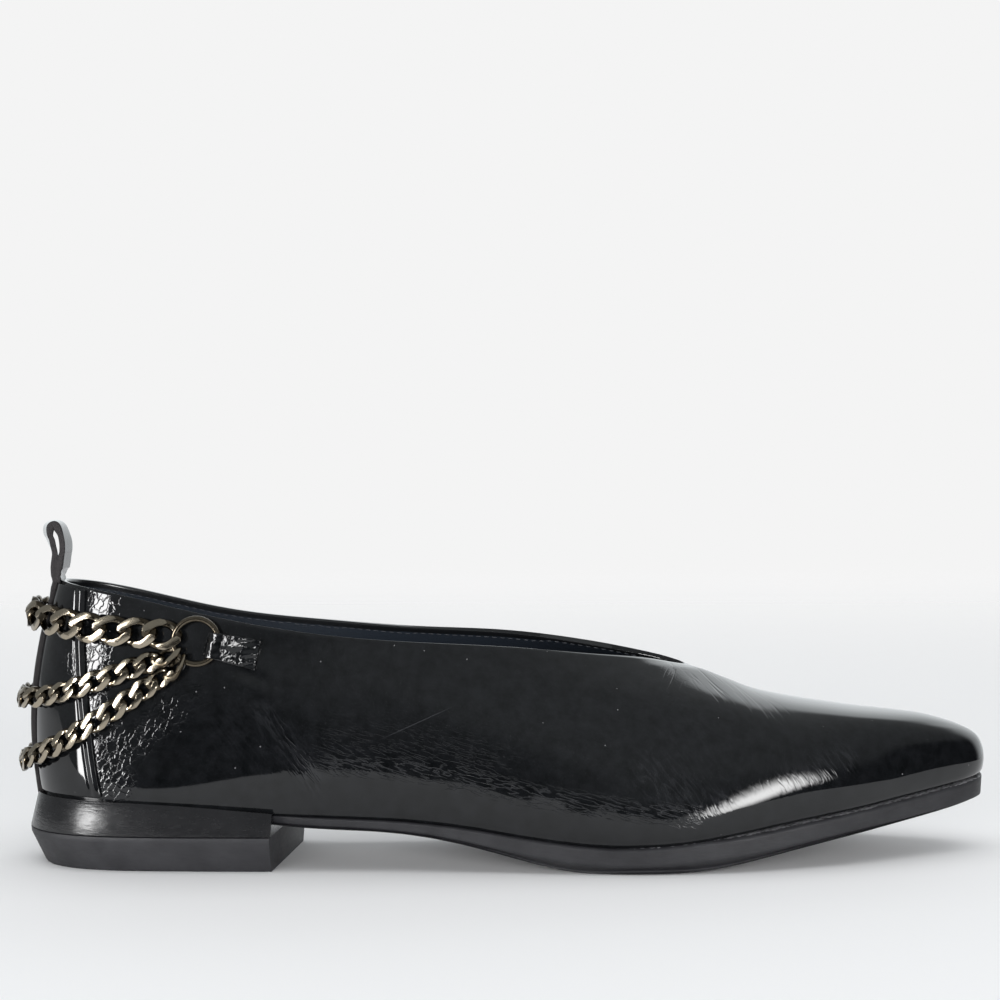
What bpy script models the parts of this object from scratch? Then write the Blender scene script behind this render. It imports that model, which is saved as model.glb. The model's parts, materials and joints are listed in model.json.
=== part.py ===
"""A woman's flat shoe for the right foot, with a low bevelled heel, a pull loop and three chains round the heel.

Sizes below are millimetres. Stations run forward from the back of the heel seat, the lateral side is at -Y,
and the floor is at z = 0. Angles round the shoe start at the toe, pass the lateral side, and reach the back at pi.
"""

import math
from collections import namedtuple

import bmesh
import bpy
import numpy as np
from mathutils import Matrix, Vector

MM = 0.001
UP = Vector((0.0, 0.0, 1.0))
NUDGE = 0.002
HALVINGS = 26
SHARP_ANGLE = math.radians(40.0)
GAP = 0.3

# Where the back of the heel seat stands, so that the whole shoe is centred on the origin
SEAT_X = -127.9
SEAT_Y = -3.75

# Plan radii of the feather line and of the collar, at both ends
HEEL_RADIUS = 25.0
TOE_RADIUS = 12.0
COLLAR_RADIUS = 20.0
THROAT_RADIUS = 4.0

# Leather thicknesses
UPPER_WALL = 1.6
COUNTER_WALL = 0.8
STRAP_WALL = 1.5
TAB_WALL = 1.0

# The last's sections: width and centre line of the feather line, its height, the outsole's edge and underside.
# An underside below zero is trimmed flat at the floor.
Section = namedtuple("Section", "station half_width centre feather edge under")
SECTIONS = [
    Section(0.0, 0.0, 0.0, 19.5, 3.2, 15.9),
    Section(20.0, 23.0, 0.0, 19.4, 3.2, 15.8),
    Section(45.0, 25.5, -0.2, 18.6, 3.2, 15.0),
    Section(74.0, 25.6, -1.4, 16.4, 3.5, 12.1),
    Section(99.0, 26.9, -1.9, 15.2, 3.5, 10.6),
    Section(123.0, 30.9, -0.8, 12.5, 5.0, 5.6),
    Section(141.0, 34.9, 0.6, 9.9, 5.9, 0.6),
    Section(163.0, 38.6, 2.4, 8.7, 5.9, -0.7),
    Section(185.0, 39.0, 4.7, 10.3, 6.3, 0.7),
    Section(205.0, 35.6, 6.9, 13.6, 6.5, 4.7),
    Section(225.0, 28.8, 9.1, 16.3, 6.5, 8.4),
    Section(244.0, 19.7, 11.0, 19.1, 6.8, 11.2),
    Section(263.8, 0.0, 12.5, 22.0, 6.8, 14.7),
]

# The collar: its width, centre line and height, from the back to the point of the throat,
# and how much higher the medial side stands
Collar = namedtuple("Collar", "station half_width centre height medial")
COLLAR = [
    Collar(3.8, 0.0, 0.0, 77.8, 0.0),
    Collar(20.0, 19.5, 0.0, 75.2, -0.8),
    Collar(45.0, 24.3, 0.0, 69.6, -1.2),
    Collar(75.0, 26.2, 0.0, 64.3, 0.3),
    Collar(105.0, 26.8, 0.2, 61.9, 0.4),
    Collar(131.0, 23.2, 0.8, 60.2, 1.2),
    Collar(151.0, 17.2, 1.7, 57.8, 1.4),
    Collar(166.0, 10.8, 2.4, 56.1, 0.5),
    Collar(178.2, 0.0, 3.0, 53.5, 0.0),
]

# The upper's wall by angle: outward lean and stiffness at the feather line, then at the collar
Wall = namedtuple("Wall", "angle lean stand fall reach")
WALLS = [
    Wall(0.0, 26.0, 25.2, 61.0, 36.7),
    Wall(25.0, 19.0, 20.0, 58.0, 33.0),
    Wall(50.0, 19.0, 20.0, 52.0, 27.0),
    Wall(75.0, 15.0, 12.0, 28.0, 20.0),
    Wall(100.0, 22.0, 12.0, 4.0, 15.0),
    Wall(130.0, 8.0, 13.0, 7.0, 16.0),
    Wall(155.0, 8.0, 14.0, 10.0, 18.0),
    Wall(180.0, 15.0, 21.0, 14.0, 19.0),
]
UPPER_STEPS = 64
UPPER_ROWS = 8

# Outsole and insole: how far their edges stand out from the feather line
SOLE_STEPS = 64
SOLE_OUT = 0.9
SEAT_OUT = -0.6
SEAT_END = 60.0
WAIST_START = 74.0
EDGE_DRAFT = 0.3
CROWN_REACH = 3.2
CROWN_MARGIN = 1.2
SHOULDER_OUT = 0.35
SHOULDER_DOWN = 0.72
INSOLE_STEPS = 48
INSOLE_OUT = -2.3
INSOLE_THICKNESS = 2.5
INSOLE_ROUND = 0.8

# Heel: two layers, cut by a breast that runs further forward on the medial side
BREAST = 66.8
BREAST_SLANT = 0.12
BREAST_SETBACK = 0.9
HEEL_STEPS = 30
JOINT_HEIGHT = 10.0
RIM_DROP = 1.2
RIM_OUT = 2.6
FLARE_OUT = 4.7
CUP_HEADROOM = 12.0
Lift = namedtuple("Lift", "height out")
LIFT = [
    Lift(JOINT_HEIGHT - GAP, FLARE_OUT),
    Lift(8.2, FLARE_OUT - 0.2),
    Lift(0.8, 0.9),
    Lift(0.0, 0.5),
]

# Counter: the angle of its front edge at the feather line and at the collar, and how early it bends back
SEAM_FOOT = math.radians(149.4)
SEAM_TOP = math.radians(153.9)
SEAM_BEND = 0.6
COUNTER_STEPS = 14
COUNTER_ROWS = 7
COUNTER_MARGIN = 0.015

# Pull strap: its width, its ends, and the loop above the collar as points behind the collar's back edge
STRAP_WIDTH = 9.6
STRAP_FOOT = 0.03
STRAP_TOP = 0.97
STRAP_RUN = 8
STRAP_INSIDE = 12.0
LOOP_FLARE = 2.4
LoopPoint = namedtuple("LoopPoint", "forward above flare")
LOOP = [
    LoopPoint(-2.15, 1.2, 0.0),
    LoopPoint(-2.15, 3.5, 0.2),
    LoopPoint(-1.85, 5.9, 0.45),
    LoopPoint(-1.7, 7.6, 0.6),
    LoopPoint(-2.1, 9.9, 0.8),
    LoopPoint(-2.75, 12.2, 1.0),
    LoopPoint(-3.05, 13.8, 1.0),
    LoopPoint(-2.7, 15.1, 0.8),
    LoopPoint(-1.9, 15.6, 0.3),
    LoopPoint(-1.0, 15.0, 0.0),
    LoopPoint(-0.3, 13.1, -0.2),
    LoopPoint(0.25, 10.7, -0.35),
    LoopPoint(0.35, 8.3, -0.37),
    LoopPoint(0.15, 5.9, -0.37),
    LoopPoint(-0.1, 3.3, -0.35),
    LoopPoint(0.4, 1.6, -0.3),
    LoopPoint(1.85, 1.3, -0.1),
]
LOOP_ROWS = 21
STRAP_COLUMNS = 5
CURL_ANGLE = 0.1

# Rings and the folded tabs that hold them
RING_STATION = 43.7
RING_HEIGHT = 62.2
RING_RADIUS = 6.2
RING_WIRE = 0.8
RING_STAND = 3.3
RING_SEGMENTS = 20
RING_SIDES = 6
TAB_TILT = math.radians(-13.0)
TAB_WIDTH = 7.6
TAB_LENGTH = 16.8
TAB_FOLD_STEPS = 6
TAB_SLACK = 2.0
TAB_COLUMNS = 3
TAB_SEAM = 0.75
TAB_SEAM_LIFT = 0.6
TAB_SHOULDER = 2.0
TAB_SHOULDER_STAND = 0.9

# Chains: pitch, width and wire of a link, height at the back, sag as a share of the drop,
# where each hooks on its ring, how far its end links roll onto their edges there, and how far they stay off the ring
Chain = namedtuple("Chain", "name pitch width wire back sag hook roll clear")
CHAINS = [
    Chain("chain_top", 6.8, 8.3, 2.3, 68.6, 0.06, math.radians(176.0), 0.0, 0.0),
    Chain("chain_middle", 5.4, 5.7, 1.7, 45.0, 0.22, math.radians(212.0), math.radians(60.0), 0.6),
    Chain("chain_bottom", 5.4, 5.7, 1.7, 27.8, 0.17, math.radians(244.0), math.radians(70.0), 0.0),
]
LINK_TWIST = math.radians(40.0)
LINK_SEGMENTS = 8
LINK_SIDES = 4
LINK_BITE = 0.72
CHAIN_SAMPLES = 60
CHAIN_EASE = 0.35
CHAIN_TILT = 0.18
CHAIN_RELEASE = 0.4
SAG_SKEW = 1.4
ROLL_RUN = 2.5
LOOK_AHEAD = 1.0
COUNTER_EDGE = (math.radians(138.0), math.radians(152.0))
STRAP_EDGE = (math.radians(162.0), math.radians(172.0))


def spline(knots, values):
    """The natural cubic spline through a table's rows, as a function that holds its end values."""
    x = np.array(knots, float)
    y = np.array(values, float)
    run = np.diff(x)
    system = np.eye(len(x))
    right = np.zeros(len(x))
    for i in range(1, len(x) - 1):
        system[i, i - 1 : i + 2] = run[i - 1], 2 * (run[i - 1] + run[i]), run[i]
        right[i] = 6 * ((y[i + 1] - y[i]) / run[i] - (y[i] - y[i - 1]) / run[i - 1])
    bend = np.linalg.solve(system, right)

    def at(value):
        value = min(max(value, x[0]), x[-1])
        i = min(int(np.searchsorted(x, value, side="right")) - 1, len(run) - 1)
        after = (value - x[i]) / run[i]
        before = 1 - after
        curve = (before**3 - before) * bend[i] + (after**3 - after) * bend[i + 1]
        return float(before * y[i] + after * y[i + 1] + curve * run[i] ** 2 / 6)

    return at


def ease(value, start, end):
    """A soft step from 0 at start to 1 at end."""
    t = min(max((value - start) / (end - start), 0.0), 1.0)
    return t * t * (3 - 2 * t)


def halved(rising, low, high):
    """Where a rising function passes zero between two bounds."""
    for _ in range(HALVINGS):
        middle = (low + high) / 2
        if rising(middle) > 0:
            high = middle
        else:
            low = middle
    return (low + high) / 2


class PlanLoop:
    """A closed curve seen from above, round at both ends, through the widths and centre line of its rows."""

    def __init__(self, rows, back_radius, front_radius):
        stations = [row.station for row in rows]
        self.middle = (stations[0] + stations[-1]) / 2
        self.half = (stations[-1] - stations[0]) / 2
        inner = [row.half_width / self.swing(row.station) for row in rows[1:-1]]
        back = math.sqrt(back_radius * self.half)
        front = math.sqrt(front_radius * self.half)
        self.spread = spline(stations, [back, *inner, front])
        self.centre = spline(stations, [row.centre for row in rows])

    def swing(self, station):
        return math.sqrt(1 - ((station - self.middle) / self.half) ** 2)

    def spot(self, angle):
        station = self.middle + self.half * math.cos(angle)
        side = self.centre(station) - math.sin(angle) * self.spread(station)
        return Vector((station, side, 0.0))

    def outward(self, angle):
        step = self.spot(angle + NUDGE) - self.spot(angle - NUDGE)
        return Vector((-step.y, step.x, 0.0)).normalized()

    def offset(self, angle, out):
        return self.spot(angle) + self.outward(angle) * out


FEATHER_LOOP = PlanLoop(SECTIONS, HEEL_RADIUS, TOE_RADIUS)
COLLAR_LOOP = PlanLoop(COLLAR, COLLAR_RADIUS, THROAT_RADIUS)


def section_curve(column):
    return spline([row.station for row in SECTIONS], [getattr(row, column) for row in SECTIONS])


def wall_curve(column):
    """A wall column over the whole turn, alike on both sides of the shoe."""
    rows = [(row.angle, getattr(row, column)) for row in WALLS]
    before = [(-angle, value) for angle, value in rows[:0:-1]]
    after = [(360.0 - angle, value) for angle, value in rows[-2::-1]]
    whole = before + rows + after
    return spline([row[0] for row in whole], [row[1] for row in whole])


FEATHER = section_curve("feather")
EDGE = section_curve("edge")
UNDER = section_curve("under")
COLLAR_HEIGHT = spline([row.station for row in COLLAR], [row.height for row in COLLAR])
MEDIAL_LIFT = spline([row.station for row in COLLAR], [row.medial for row in COLLAR])
LEAN, STAND, FALL, REACH = [wall_curve(column) for column in ("lean", "stand", "fall", "reach")]


def wall(angle, rise):
    """A point of the upper's outer face, from the feather line at rise 0 to the collar at rise 1."""
    foot = FEATHER_LOOP.spot(angle)
    foot.z = FEATHER(foot.x)
    top = COLLAR_LOOP.spot(angle)
    top.z = COLLAR_HEIGHT(top.x) + MEDIAL_LIFT(top.x) * (1 - math.sin(angle)) / 2
    turn = math.degrees(angle)
    lean = math.radians(LEAN(turn))
    fall = math.radians(FALL(turn))
    foot_way = FEATHER_LOOP.outward(angle) * math.sin(lean) + UP * math.cos(lean)
    top_way = COLLAR_LOOP.outward(angle) * math.sin(fall) - UP * math.cos(fall)
    low = foot + foot_way * STAND(turn)
    high = top + top_way * REACH(turn)
    back = 1 - rise
    return foot * back**3 + low * 3 * back**2 * rise + high * 3 * back * rise**2 + top * rise**3


def wall_normal(angle, rise):
    low = max(rise - NUDGE, 0.0)
    high = min(rise + NUDGE, 1.0)
    along = wall(angle + NUDGE, rise) - wall(angle - NUDGE, rise)
    upward = wall(angle, high) - wall(angle, low)
    return upward.cross(along).normalized()


def rise_at(angle, height):
    return halved(lambda rise: wall(angle, rise).z - height, 0.0, 1.0)


def spot_at(station, height, side):
    """The angle and rise of the quarter's point at a station and height, on side -1 lateral or 1 medial."""

    def beyond(turn):
        angle = math.pi + side * turn
        return wall(angle, rise_at(angle, height)).x - station

    angle = math.pi + side * halved(beyond, 0.0, math.pi / 2)
    return angle, rise_at(angle, height)


def new_collection(name):
    collection = bpy.data.collections.new(name)
    bpy.context.scene.collection.children.link(collection)
    return collection


def finish_material(name, colour, roughness, metallic=0.0):
    material = bpy.data.materials.new(name)
    material.use_nodes = True
    shader = material.node_tree.nodes["Principled BSDF"]
    shader.inputs["Base Color"].default_value = (*colour, 1.0)
    shader.inputs["Roughness"].default_value = roughness
    shader.inputs["Metallic"].default_value = metallic
    return material


def new_object(name, points, faces, collection, material=None):
    """A mesh object from points in millimetres, standing at the shoe's place, with its faces turned out."""
    mesh = bpy.data.meshes.new(name)
    home = Vector((SEAT_X, SEAT_Y, 0.0))
    mesh.from_pydata([(point + home) * MM for point in points], [], faces)
    body = bmesh.new()
    body.from_mesh(mesh)
    bmesh.ops.recalc_face_normals(body, faces=body.faces)
    body.to_mesh(mesh)
    body.free()
    mesh.shade_smooth()
    mesh.set_sharp_from_angle(angle=SHARP_ANGLE)
    obj = bpy.data.objects.new(name, mesh)
    collection.objects.link(obj)
    if material:
        mesh.materials.append(material)
    return obj


def hide_cutter(obj):
    obj.hide_render = True
    obj.display_type = "WIRE"


def add_boolean(obj, operation, **operand):
    cut = obj.modifiers.new(operation.lower(), "BOOLEAN")
    cut.operation = operation
    cut.solver = "EXACT"
    for name, value in operand.items():
        setattr(cut, name, value)


def add_wall(obj, thickness, offset):
    solid = obj.modifiers.new("wall", "SOLIDIFY")
    solid.thickness = thickness * MM
    solid.offset = offset
    solid.use_even_offset = True


def grid_faces(columns, rows, closed):
    """Quads over points listed column by column, with the last column joined to the first where closed."""
    faces = []
    for i in range(columns if closed else columns - 1):
        near = i * rows
        far = ((i + 1) % columns) * rows
        for j in range(rows - 1):
            faces.append((near + j, far + j, far + j + 1, near + j + 1))
    return faces


def cap_faces(first, count):
    """Strips straight across a loop whose points are in mirrored order about its first and middle points."""
    half = count // 2
    faces = [(first, first + 1, first + count - 1)]
    for i in range(1, half - 1):
        faces.append((first + i, first + i + 1, first + count - i - 1, first + count - i))
    faces.append((first + half - 1, first + half, first + half + 1))
    return faces


def open_cap_faces(first, count):
    """Strips across a loop that starts and ends at the two corners of the heel's breast."""
    last = first + count - 1
    faces = []
    for i in range(count // 2 - 1):
        faces.append((first + i, first + i + 1, last - i - 1, last - i))
    return faces


def stacked(loops, cap):
    """Points and faces of a solid skinned over loops of equal length, from its top loop to its bottom loop."""
    count = len(loops[0])
    points = [point for loop in loops for point in loop]
    faces = []
    for k in range(len(loops) - 1):
        for i in range(count):
            j = (i + 1) % count
            faces.append((k * count + i, k * count + j, (k + 1) * count + j, (k + 1) * count + i))
    faces += cap(0, count)
    faces += cap((len(loops) - 1) * count, count)
    return points, faces


def turn_angles(count):
    return [2 * math.pi * i / count for i in range(count)]


def sole_out(station):
    return SEAT_OUT + (SOLE_OUT - SEAT_OUT) * ease(station, SEAT_END, WAIST_START)


def sole_loops(grow, headroom):
    """The outsole's loops from its top edge to its flat underside, grown all round by a gap for the heel's cup."""
    top, edge, shoulder, flat = [], [], [], []
    for angle in turn_angles(SOLE_STEPS):
        station = FEATHER_LOOP.spot(angle).x
        out = sole_out(station) + grow
        edge_height = FEATHER(station) - GAP - EDGE(station)
        under = max(UNDER(station), 0.0)
        drop = max(edge_height - under, GAP)
        inset = CROWN_MARGIN + CROWN_REACH * drop
        levels = (
            (top, out, FEATHER(station) - GAP + headroom),
            (edge, out - EDGE_DRAFT, edge_height - grow),
            (shoulder, out - EDGE_DRAFT - inset * SHOULDER_OUT, edge_height - drop * SHOULDER_DOWN - grow),
            (flat, out - EDGE_DRAFT - inset, edge_height - drop - grow),
        )
        for loop, reach, height in levels:
            spot = FEATHER_LOOP.offset(angle, reach)
            spot.z = height
            loop.append(spot)
    return [top, edge, shoulder, flat]


def add_outsole(parts, rubber):
    points, faces = stacked(sole_loops(0.0, 0.0), cap_faces)
    new_object("outsole", points, faces, parts, rubber)


def add_insole(parts, leather):
    loops = [[], [], []]
    levels = (
        (INSOLE_OUT - INSOLE_ROUND, INSOLE_THICKNESS),
        (INSOLE_OUT, INSOLE_THICKNESS - INSOLE_ROUND),
        (INSOLE_OUT, 0.0),
    )
    for angle in turn_angles(INSOLE_STEPS):
        for loop, (out, above) in zip(loops, levels):
            spot = FEATHER_LOOP.offset(angle, out)
            spot.z = FEATHER(FEATHER_LOOP.spot(angle).x) + above
            loop.append(spot)
    points, faces = stacked(loops, cap_faces)
    new_object("insole", points, faces, parts, leather)


def heel_loop(out, height_at, breast):
    """Round the back of the heel at one level, from the lateral corner of the breast to the medial one."""

    def behind(angle):
        spot = FEATHER_LOOP.offset(angle, out)
        return breast + BREAST_SLANT * spot.y - spot.x

    first = halved(behind, math.pi / 3, math.pi)
    last = 2 * math.pi - halved(lambda turn: behind(2 * math.pi - turn), math.pi / 3, math.pi)
    loop = []
    for i in range(HEEL_STEPS):
        angle = first + (last - first) * i / (HEEL_STEPS - 1)
        spot = FEATHER_LOOP.offset(angle, out)
        spot.z = height_at(spot.x)
        loop.append(spot)
    return loop


def add_heel_block(parts, cutters, rubber):
    breast = BREAST - BREAST_SETBACK
    loops = [
        heel_loop(RIM_OUT, lambda station: FEATHER(station) - RIM_DROP, breast),
        heel_loop(FLARE_OUT, lambda station: JOINT_HEIGHT, breast),
    ]
    points, faces = stacked(loops, open_cap_faces)
    block = new_object("heel_block", points, faces, parts, rubber)
    points, faces = stacked(sole_loops(GAP, CUP_HEADROOM), cap_faces)
    seat = new_object("heel_seat_cutter", points, faces, cutters)
    hide_cutter(seat)
    add_boolean(block, "DIFFERENCE", object=seat)


def add_heel_lift(parts, rubber):
    loops = [heel_loop(row.out, lambda station, z=row.height: z, BREAST) for row in LIFT]
    points, faces = stacked(loops, open_cap_faces)
    new_object("heel_lift", points, faces, parts, rubber)


def add_upper(parts, patent):
    points = []
    for angle in turn_angles(UPPER_STEPS):
        points += [wall(angle, j / UPPER_ROWS) for j in range(UPPER_ROWS + 1)]
    faces = grid_faces(UPPER_STEPS, UPPER_ROWS + 1, True)
    upper = new_object("upper", points, faces, parts, patent)
    add_wall(upper, UPPER_WALL, -1.0)


def add_counter(parts, patent):
    points = []
    for i in range(COUNTER_STEPS + 1):
        for j in range(COUNTER_ROWS + 1):
            rise = COUNTER_MARGIN + (1 - 2 * COUNTER_MARGIN) * j / COUNTER_ROWS
            seam = SEAM_FOOT + (SEAM_TOP - SEAM_FOOT) * rise**SEAM_BEND
            angle = seam + 2 * (math.pi - seam) * i / COUNTER_STEPS
            points.append(wall(angle, rise) + wall_normal(angle, rise) * GAP)
    faces = grid_faces(COUNTER_STEPS + 1, COUNTER_ROWS + 1, False)
    counter = new_object("counter", points, faces, parts, patent)
    add_wall(counter, COUNTER_WALL, 1.0)


def strap_points():
    """The pull strap's middle line up the back, round the loop and down inside, with its curl and flare."""
    stand = GAP + COUNTER_WALL + GAP + STRAP_WALL / 2
    rows = []
    for i in range(STRAP_RUN):
        rise = STRAP_FOOT + (STRAP_TOP - STRAP_FOOT) * i / (STRAP_RUN - 1)
        rows.append((wall(math.pi, rise) + wall_normal(math.pi, rise) * stand, 1.0, 0.0))
    top = wall(math.pi, 1.0)
    lining = UPPER_WALL + GAP + STRAP_WALL / 2
    loop = [top + Vector((row.forward, 0.0, row.above)) for row in LOOP]
    flares = [row.flare for row in LOOP]
    inside = []
    for depth in (0.0, STRAP_INSIDE / 2, STRAP_INSIDE):
        rise = rise_at(math.pi, top.z - depth)
        inside.append(wall(math.pi, rise) - wall_normal(math.pi, rise) * lining)
    knots = [rows[-1][0], *loop, inside[0]]
    lengths = np.cumsum([0.0] + [(b - a).length for a, b in zip(knots, knots[1:])])
    curves = [spline(lengths, [knot[axis] for knot in knots]) for axis in (0, 2)]
    flare = spline(lengths, [0.0, *flares, 0.0])
    for i in range(1, LOOP_ROWS + 1):
        along = lengths[-1] * i / (LOOP_ROWS + 1)
        curl = 1 - ease(along, 0.0, lengths[2]) * ease(lengths[-1] - along, 0.0, lengths[2])
        rows.append((Vector((curves[0](along), 0.0, curves[1](along))), curl, flare(along)))
    return rows + [(spot, 1.0, 0.0) for spot in inside]


def back_curl(height):
    """How fast the back of the upper turns forward from its middle line, per square millimetre."""
    aside = wall(math.pi - CURL_ANGLE, rise_at(math.pi - CURL_ANGLE, height))
    middle = wall(math.pi, rise_at(math.pi, height))
    return (aside.x - middle.x) / (aside.y - middle.y) ** 2


def add_pull_strap(parts, patent):
    top = wall(math.pi, 1.0).z
    points = []
    for spot, curl, flare in strap_points():
        bow = back_curl(min(spot.z, top)) * curl
        for column in range(STRAP_COLUMNS):
            share = column / (STRAP_COLUMNS - 1)
            across = (share - 0.5) * STRAP_WIDTH
            spread = LOOP_FLARE * flare * share
            points.append(spot + Vector((bow * across**2 - spread, across, 0.0)))
    faces = grid_faces(len(points) // STRAP_COLUMNS, STRAP_COLUMNS, False)
    strap = new_object("pull_strap", points, faces, parts, patent)
    add_wall(strap, STRAP_WALL, 0.0)


def ring_frame(side):
    """The ring's centre on the quarter, with the forward, upward and outward directions there."""
    angle, rise = spot_at(RING_STATION, RING_HEIGHT + MEDIAL_LIFT(RING_STATION) * max(side, 0), side)
    out = wall_normal(angle, rise)
    forward = (Vector((1.0, 0.0, 0.0)) - out * out.x).normalized()
    upward = out.cross(forward) * (1.0 if out.cross(forward).z > 0 else -1.0)
    return wall(angle, rise), forward, upward, out


def add_ring(parts, steel, name, side):
    foot, forward, upward, out = ring_frame(side)
    centre = foot + out * RING_STAND + Vector((SEAT_X, SEAT_Y, 0.0))
    turn = Matrix((forward, out.cross(forward), out)).transposed()
    bpy.ops.mesh.primitive_torus_add(
        major_segments=RING_SEGMENTS,
        minor_segments=RING_SIDES,
        major_radius=RING_RADIUS * MM,
        minor_radius=RING_WIRE * MM,
        location=centre * MM,
        rotation=turn.to_euler(),
    )
    ring = bpy.context.object
    ring.name = name
    ring.data.name = name
    ring.data.shade_smooth()
    ring.data.materials.append(steel)
    for home in list(ring.users_collection):
        home.objects.unlink(ring)
    parts.objects.link(ring)


def tab_path():
    """The folded tab's middle line as distances forward of the ring's centre and out from the quarter."""
    under = GAP + TAB_WALL / 2
    bend = RING_STAND - under
    turn = RING_RADIUS - RING_WIRE - GAP - TAB_SLACK + bend
    over = under + TAB_WALL + GAP
    seam = TAB_LENGTH * TAB_SEAM
    path = [(TAB_LENGTH, under), (seam, under), (turn, under)]
    for i in range(1, TAB_FOLD_STEPS):
        angle = math.pi * i / TAB_FOLD_STEPS
        path.append((turn - bend * math.sin(angle), RING_STAND - bend * math.cos(angle)))
    path += [(turn, RING_STAND + bend), (turn + TAB_SHOULDER, RING_STAND + bend * TAB_SHOULDER_STAND)]
    return path + [(seam, over + TAB_SEAM_LIFT), (TAB_LENGTH, over)]


def add_ring_tab(parts, patent, name, side):
    foot, forward, upward, out = ring_frame(side)
    along = forward * math.cos(TAB_TILT) + upward * math.sin(TAB_TILT)
    across = upward * math.cos(TAB_TILT) - forward * math.sin(TAB_TILT)
    points = []
    for distance, stand in tab_path():
        for column in range(TAB_COLUMNS):
            share = column / (TAB_COLUMNS - 1) - 0.5
            spot = foot + along * distance + across * (share * TAB_WIDTH)
            angle, rise = spot_at(spot.x, spot.z, side)
            points.append(wall(angle, rise) + wall_normal(angle, rise) * stand)
    faces = grid_faces(len(points) // TAB_COLUMNS, TAB_COLUMNS, False)
    tab = new_object(name, points, faces, parts, patent)
    add_wall(tab, TAB_WALL, 0.0)


def chain_clearance(angle):
    """What lies between the upper and a chain: nothing, then the counter, then the strap on it."""
    turn = angle if angle < math.pi else 2 * math.pi - angle
    counter = (GAP + COUNTER_WALL) * ease(turn, *COUNTER_EDGE)
    return counter + (GAP + STRAP_WALL) * ease(turn, *STRAP_EDGE)


def chain_path(chain):
    """Points and outward directions of a chain's middle line, from the lateral ring round the back."""
    stand = chain.wire * 0.5 + (chain.width - chain.wire) * CHAIN_TILT + GAP + CHAIN_EASE
    ends = []
    heights = []
    for side in (-1, 1):
        foot, forward, upward, out = ring_frame(side)
        hook = foot + (forward * math.cos(chain.hook) + upward * math.sin(chain.hook)) * RING_RADIUS
        ends.append(spot_at(hook.x, hook.z, side)[0])
        heights.append(hook.z)
    path = []
    for i in range(CHAIN_SAMPLES + 1):
        share = i / CHAIN_SAMPLES
        angle = ends[0] + (ends[1] - ends[0]) * share
        toward_back = 1 - abs(2 * share - 1)
        drop = toward_back + chain.sag * math.sin(math.pi * toward_back**SAG_SKEW)
        height = heights[0] if share < 0.5 else heights[1]
        level = height + (chain.back - height) * min(drop, 1.0)
        rise = rise_at(angle, level)
        out = wall_normal(angle, rise)
        lift = stand + (RING_STAND - stand) * (1 - ease(toward_back, 0.0, CHAIN_RELEASE)) + chain_clearance(angle)
        path.append((wall(angle, rise) + out * lift, out))
    return path


def link_frames(chain):
    """Where each link sits: evenly along the chain, between the rings' wires."""
    path = chain_path(chain)
    lengths = np.cumsum([0.0] + [(b[0] - a[0]).length for a, b in zip(path, path[1:])])
    curves = [spline(lengths, [spot[axis] for spot, _ in path]) for axis in range(3)]
    normals = [spline(lengths, [out[axis] for _, out in path]) for axis in range(3)]
    reach = chain.pitch / 2 + chain.wire + RING_WIRE + GAP + chain.clear
    count = round((lengths[-1] - 2 * reach) / chain.pitch)
    frames = []
    for i in range(count + 1):
        along = reach + (lengths[-1] - 2 * reach) * i / count
        spot = Vector([curve(along) for curve in curves])
        ahead = Vector([curve(along + LOOK_AHEAD) - curve(along - LOOK_AHEAD) for curve in curves]).normalized()
        out = Vector([curve(along) for curve in normals])
        out = (out - ahead * out.dot(ahead)).normalized()
        links_in = min(i, count - i)
        turn = chain.roll * (1 - ease(links_in, 0.0, ROLL_RUN)) * (1 if i < count / 2 else -1)
        out = Matrix.Rotation(turn, 3, ahead) @ out
        frames.append((spot, ahead, out.cross(ahead), out))
    return frames


def link_points(chain, frame):
    """A twisted oval link's points, ring by ring along its wire."""
    spot, ahead, across, out = frame
    half_length = (chain.pitch + chain.wire * LINK_BITE) / 2
    half_width = (chain.width - chain.wire) / 2
    points = []
    for i in range(LINK_SEGMENTS):
        angle = 2 * math.pi * (i + 0.5) / LINK_SEGMENTS
        share = math.cos(angle)
        for j in range(LINK_SIDES):
            side = 2 * math.pi * (j + 0.5) / LINK_SIDES
            swell = chain.wire / 2 * math.sqrt(2) * math.cos(side)
            thick = chain.wire / 2 * math.sqrt(2) * math.sin(side)
            forward = (half_length + swell) * share
            wide = (half_width + swell) * math.sin(angle)
            twist = LINK_TWIST * share
            tall = wide * math.sin(twist) + thick * math.cos(twist)
            wide = wide * math.cos(twist) - thick * math.sin(twist)
            points.append(spot + ahead * forward + across * wide + out * tall)
    return points


def ring_faces(segments, sides):
    faces = []
    for i in range(segments):
        far = (i + 1) % segments
        for j in range(sides):
            k = (j + 1) % sides
            faces.append((i * sides + j, far * sides + j, far * sides + k, i * sides + k))
    return faces


def add_chain(parts, cutters, steel, chain):
    links = new_collection(chain.name + "_links")
    cutters.children.link(links)
    bpy.context.scene.collection.children.unlink(links)
    faces = ring_faces(LINK_SEGMENTS, LINK_SIDES)
    frames = link_frames(chain)
    body = new_object(chain.name, link_points(chain, frames[0]), faces, parts, steel)
    for i, frame in enumerate(frames[1:]):
        link = new_object(f"{chain.name}_link_{i}", link_points(chain, frame), faces, links)
        hide_cutter(link)
    add_boolean(body, "UNION", operand_type="COLLECTION", collection=links)


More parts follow.
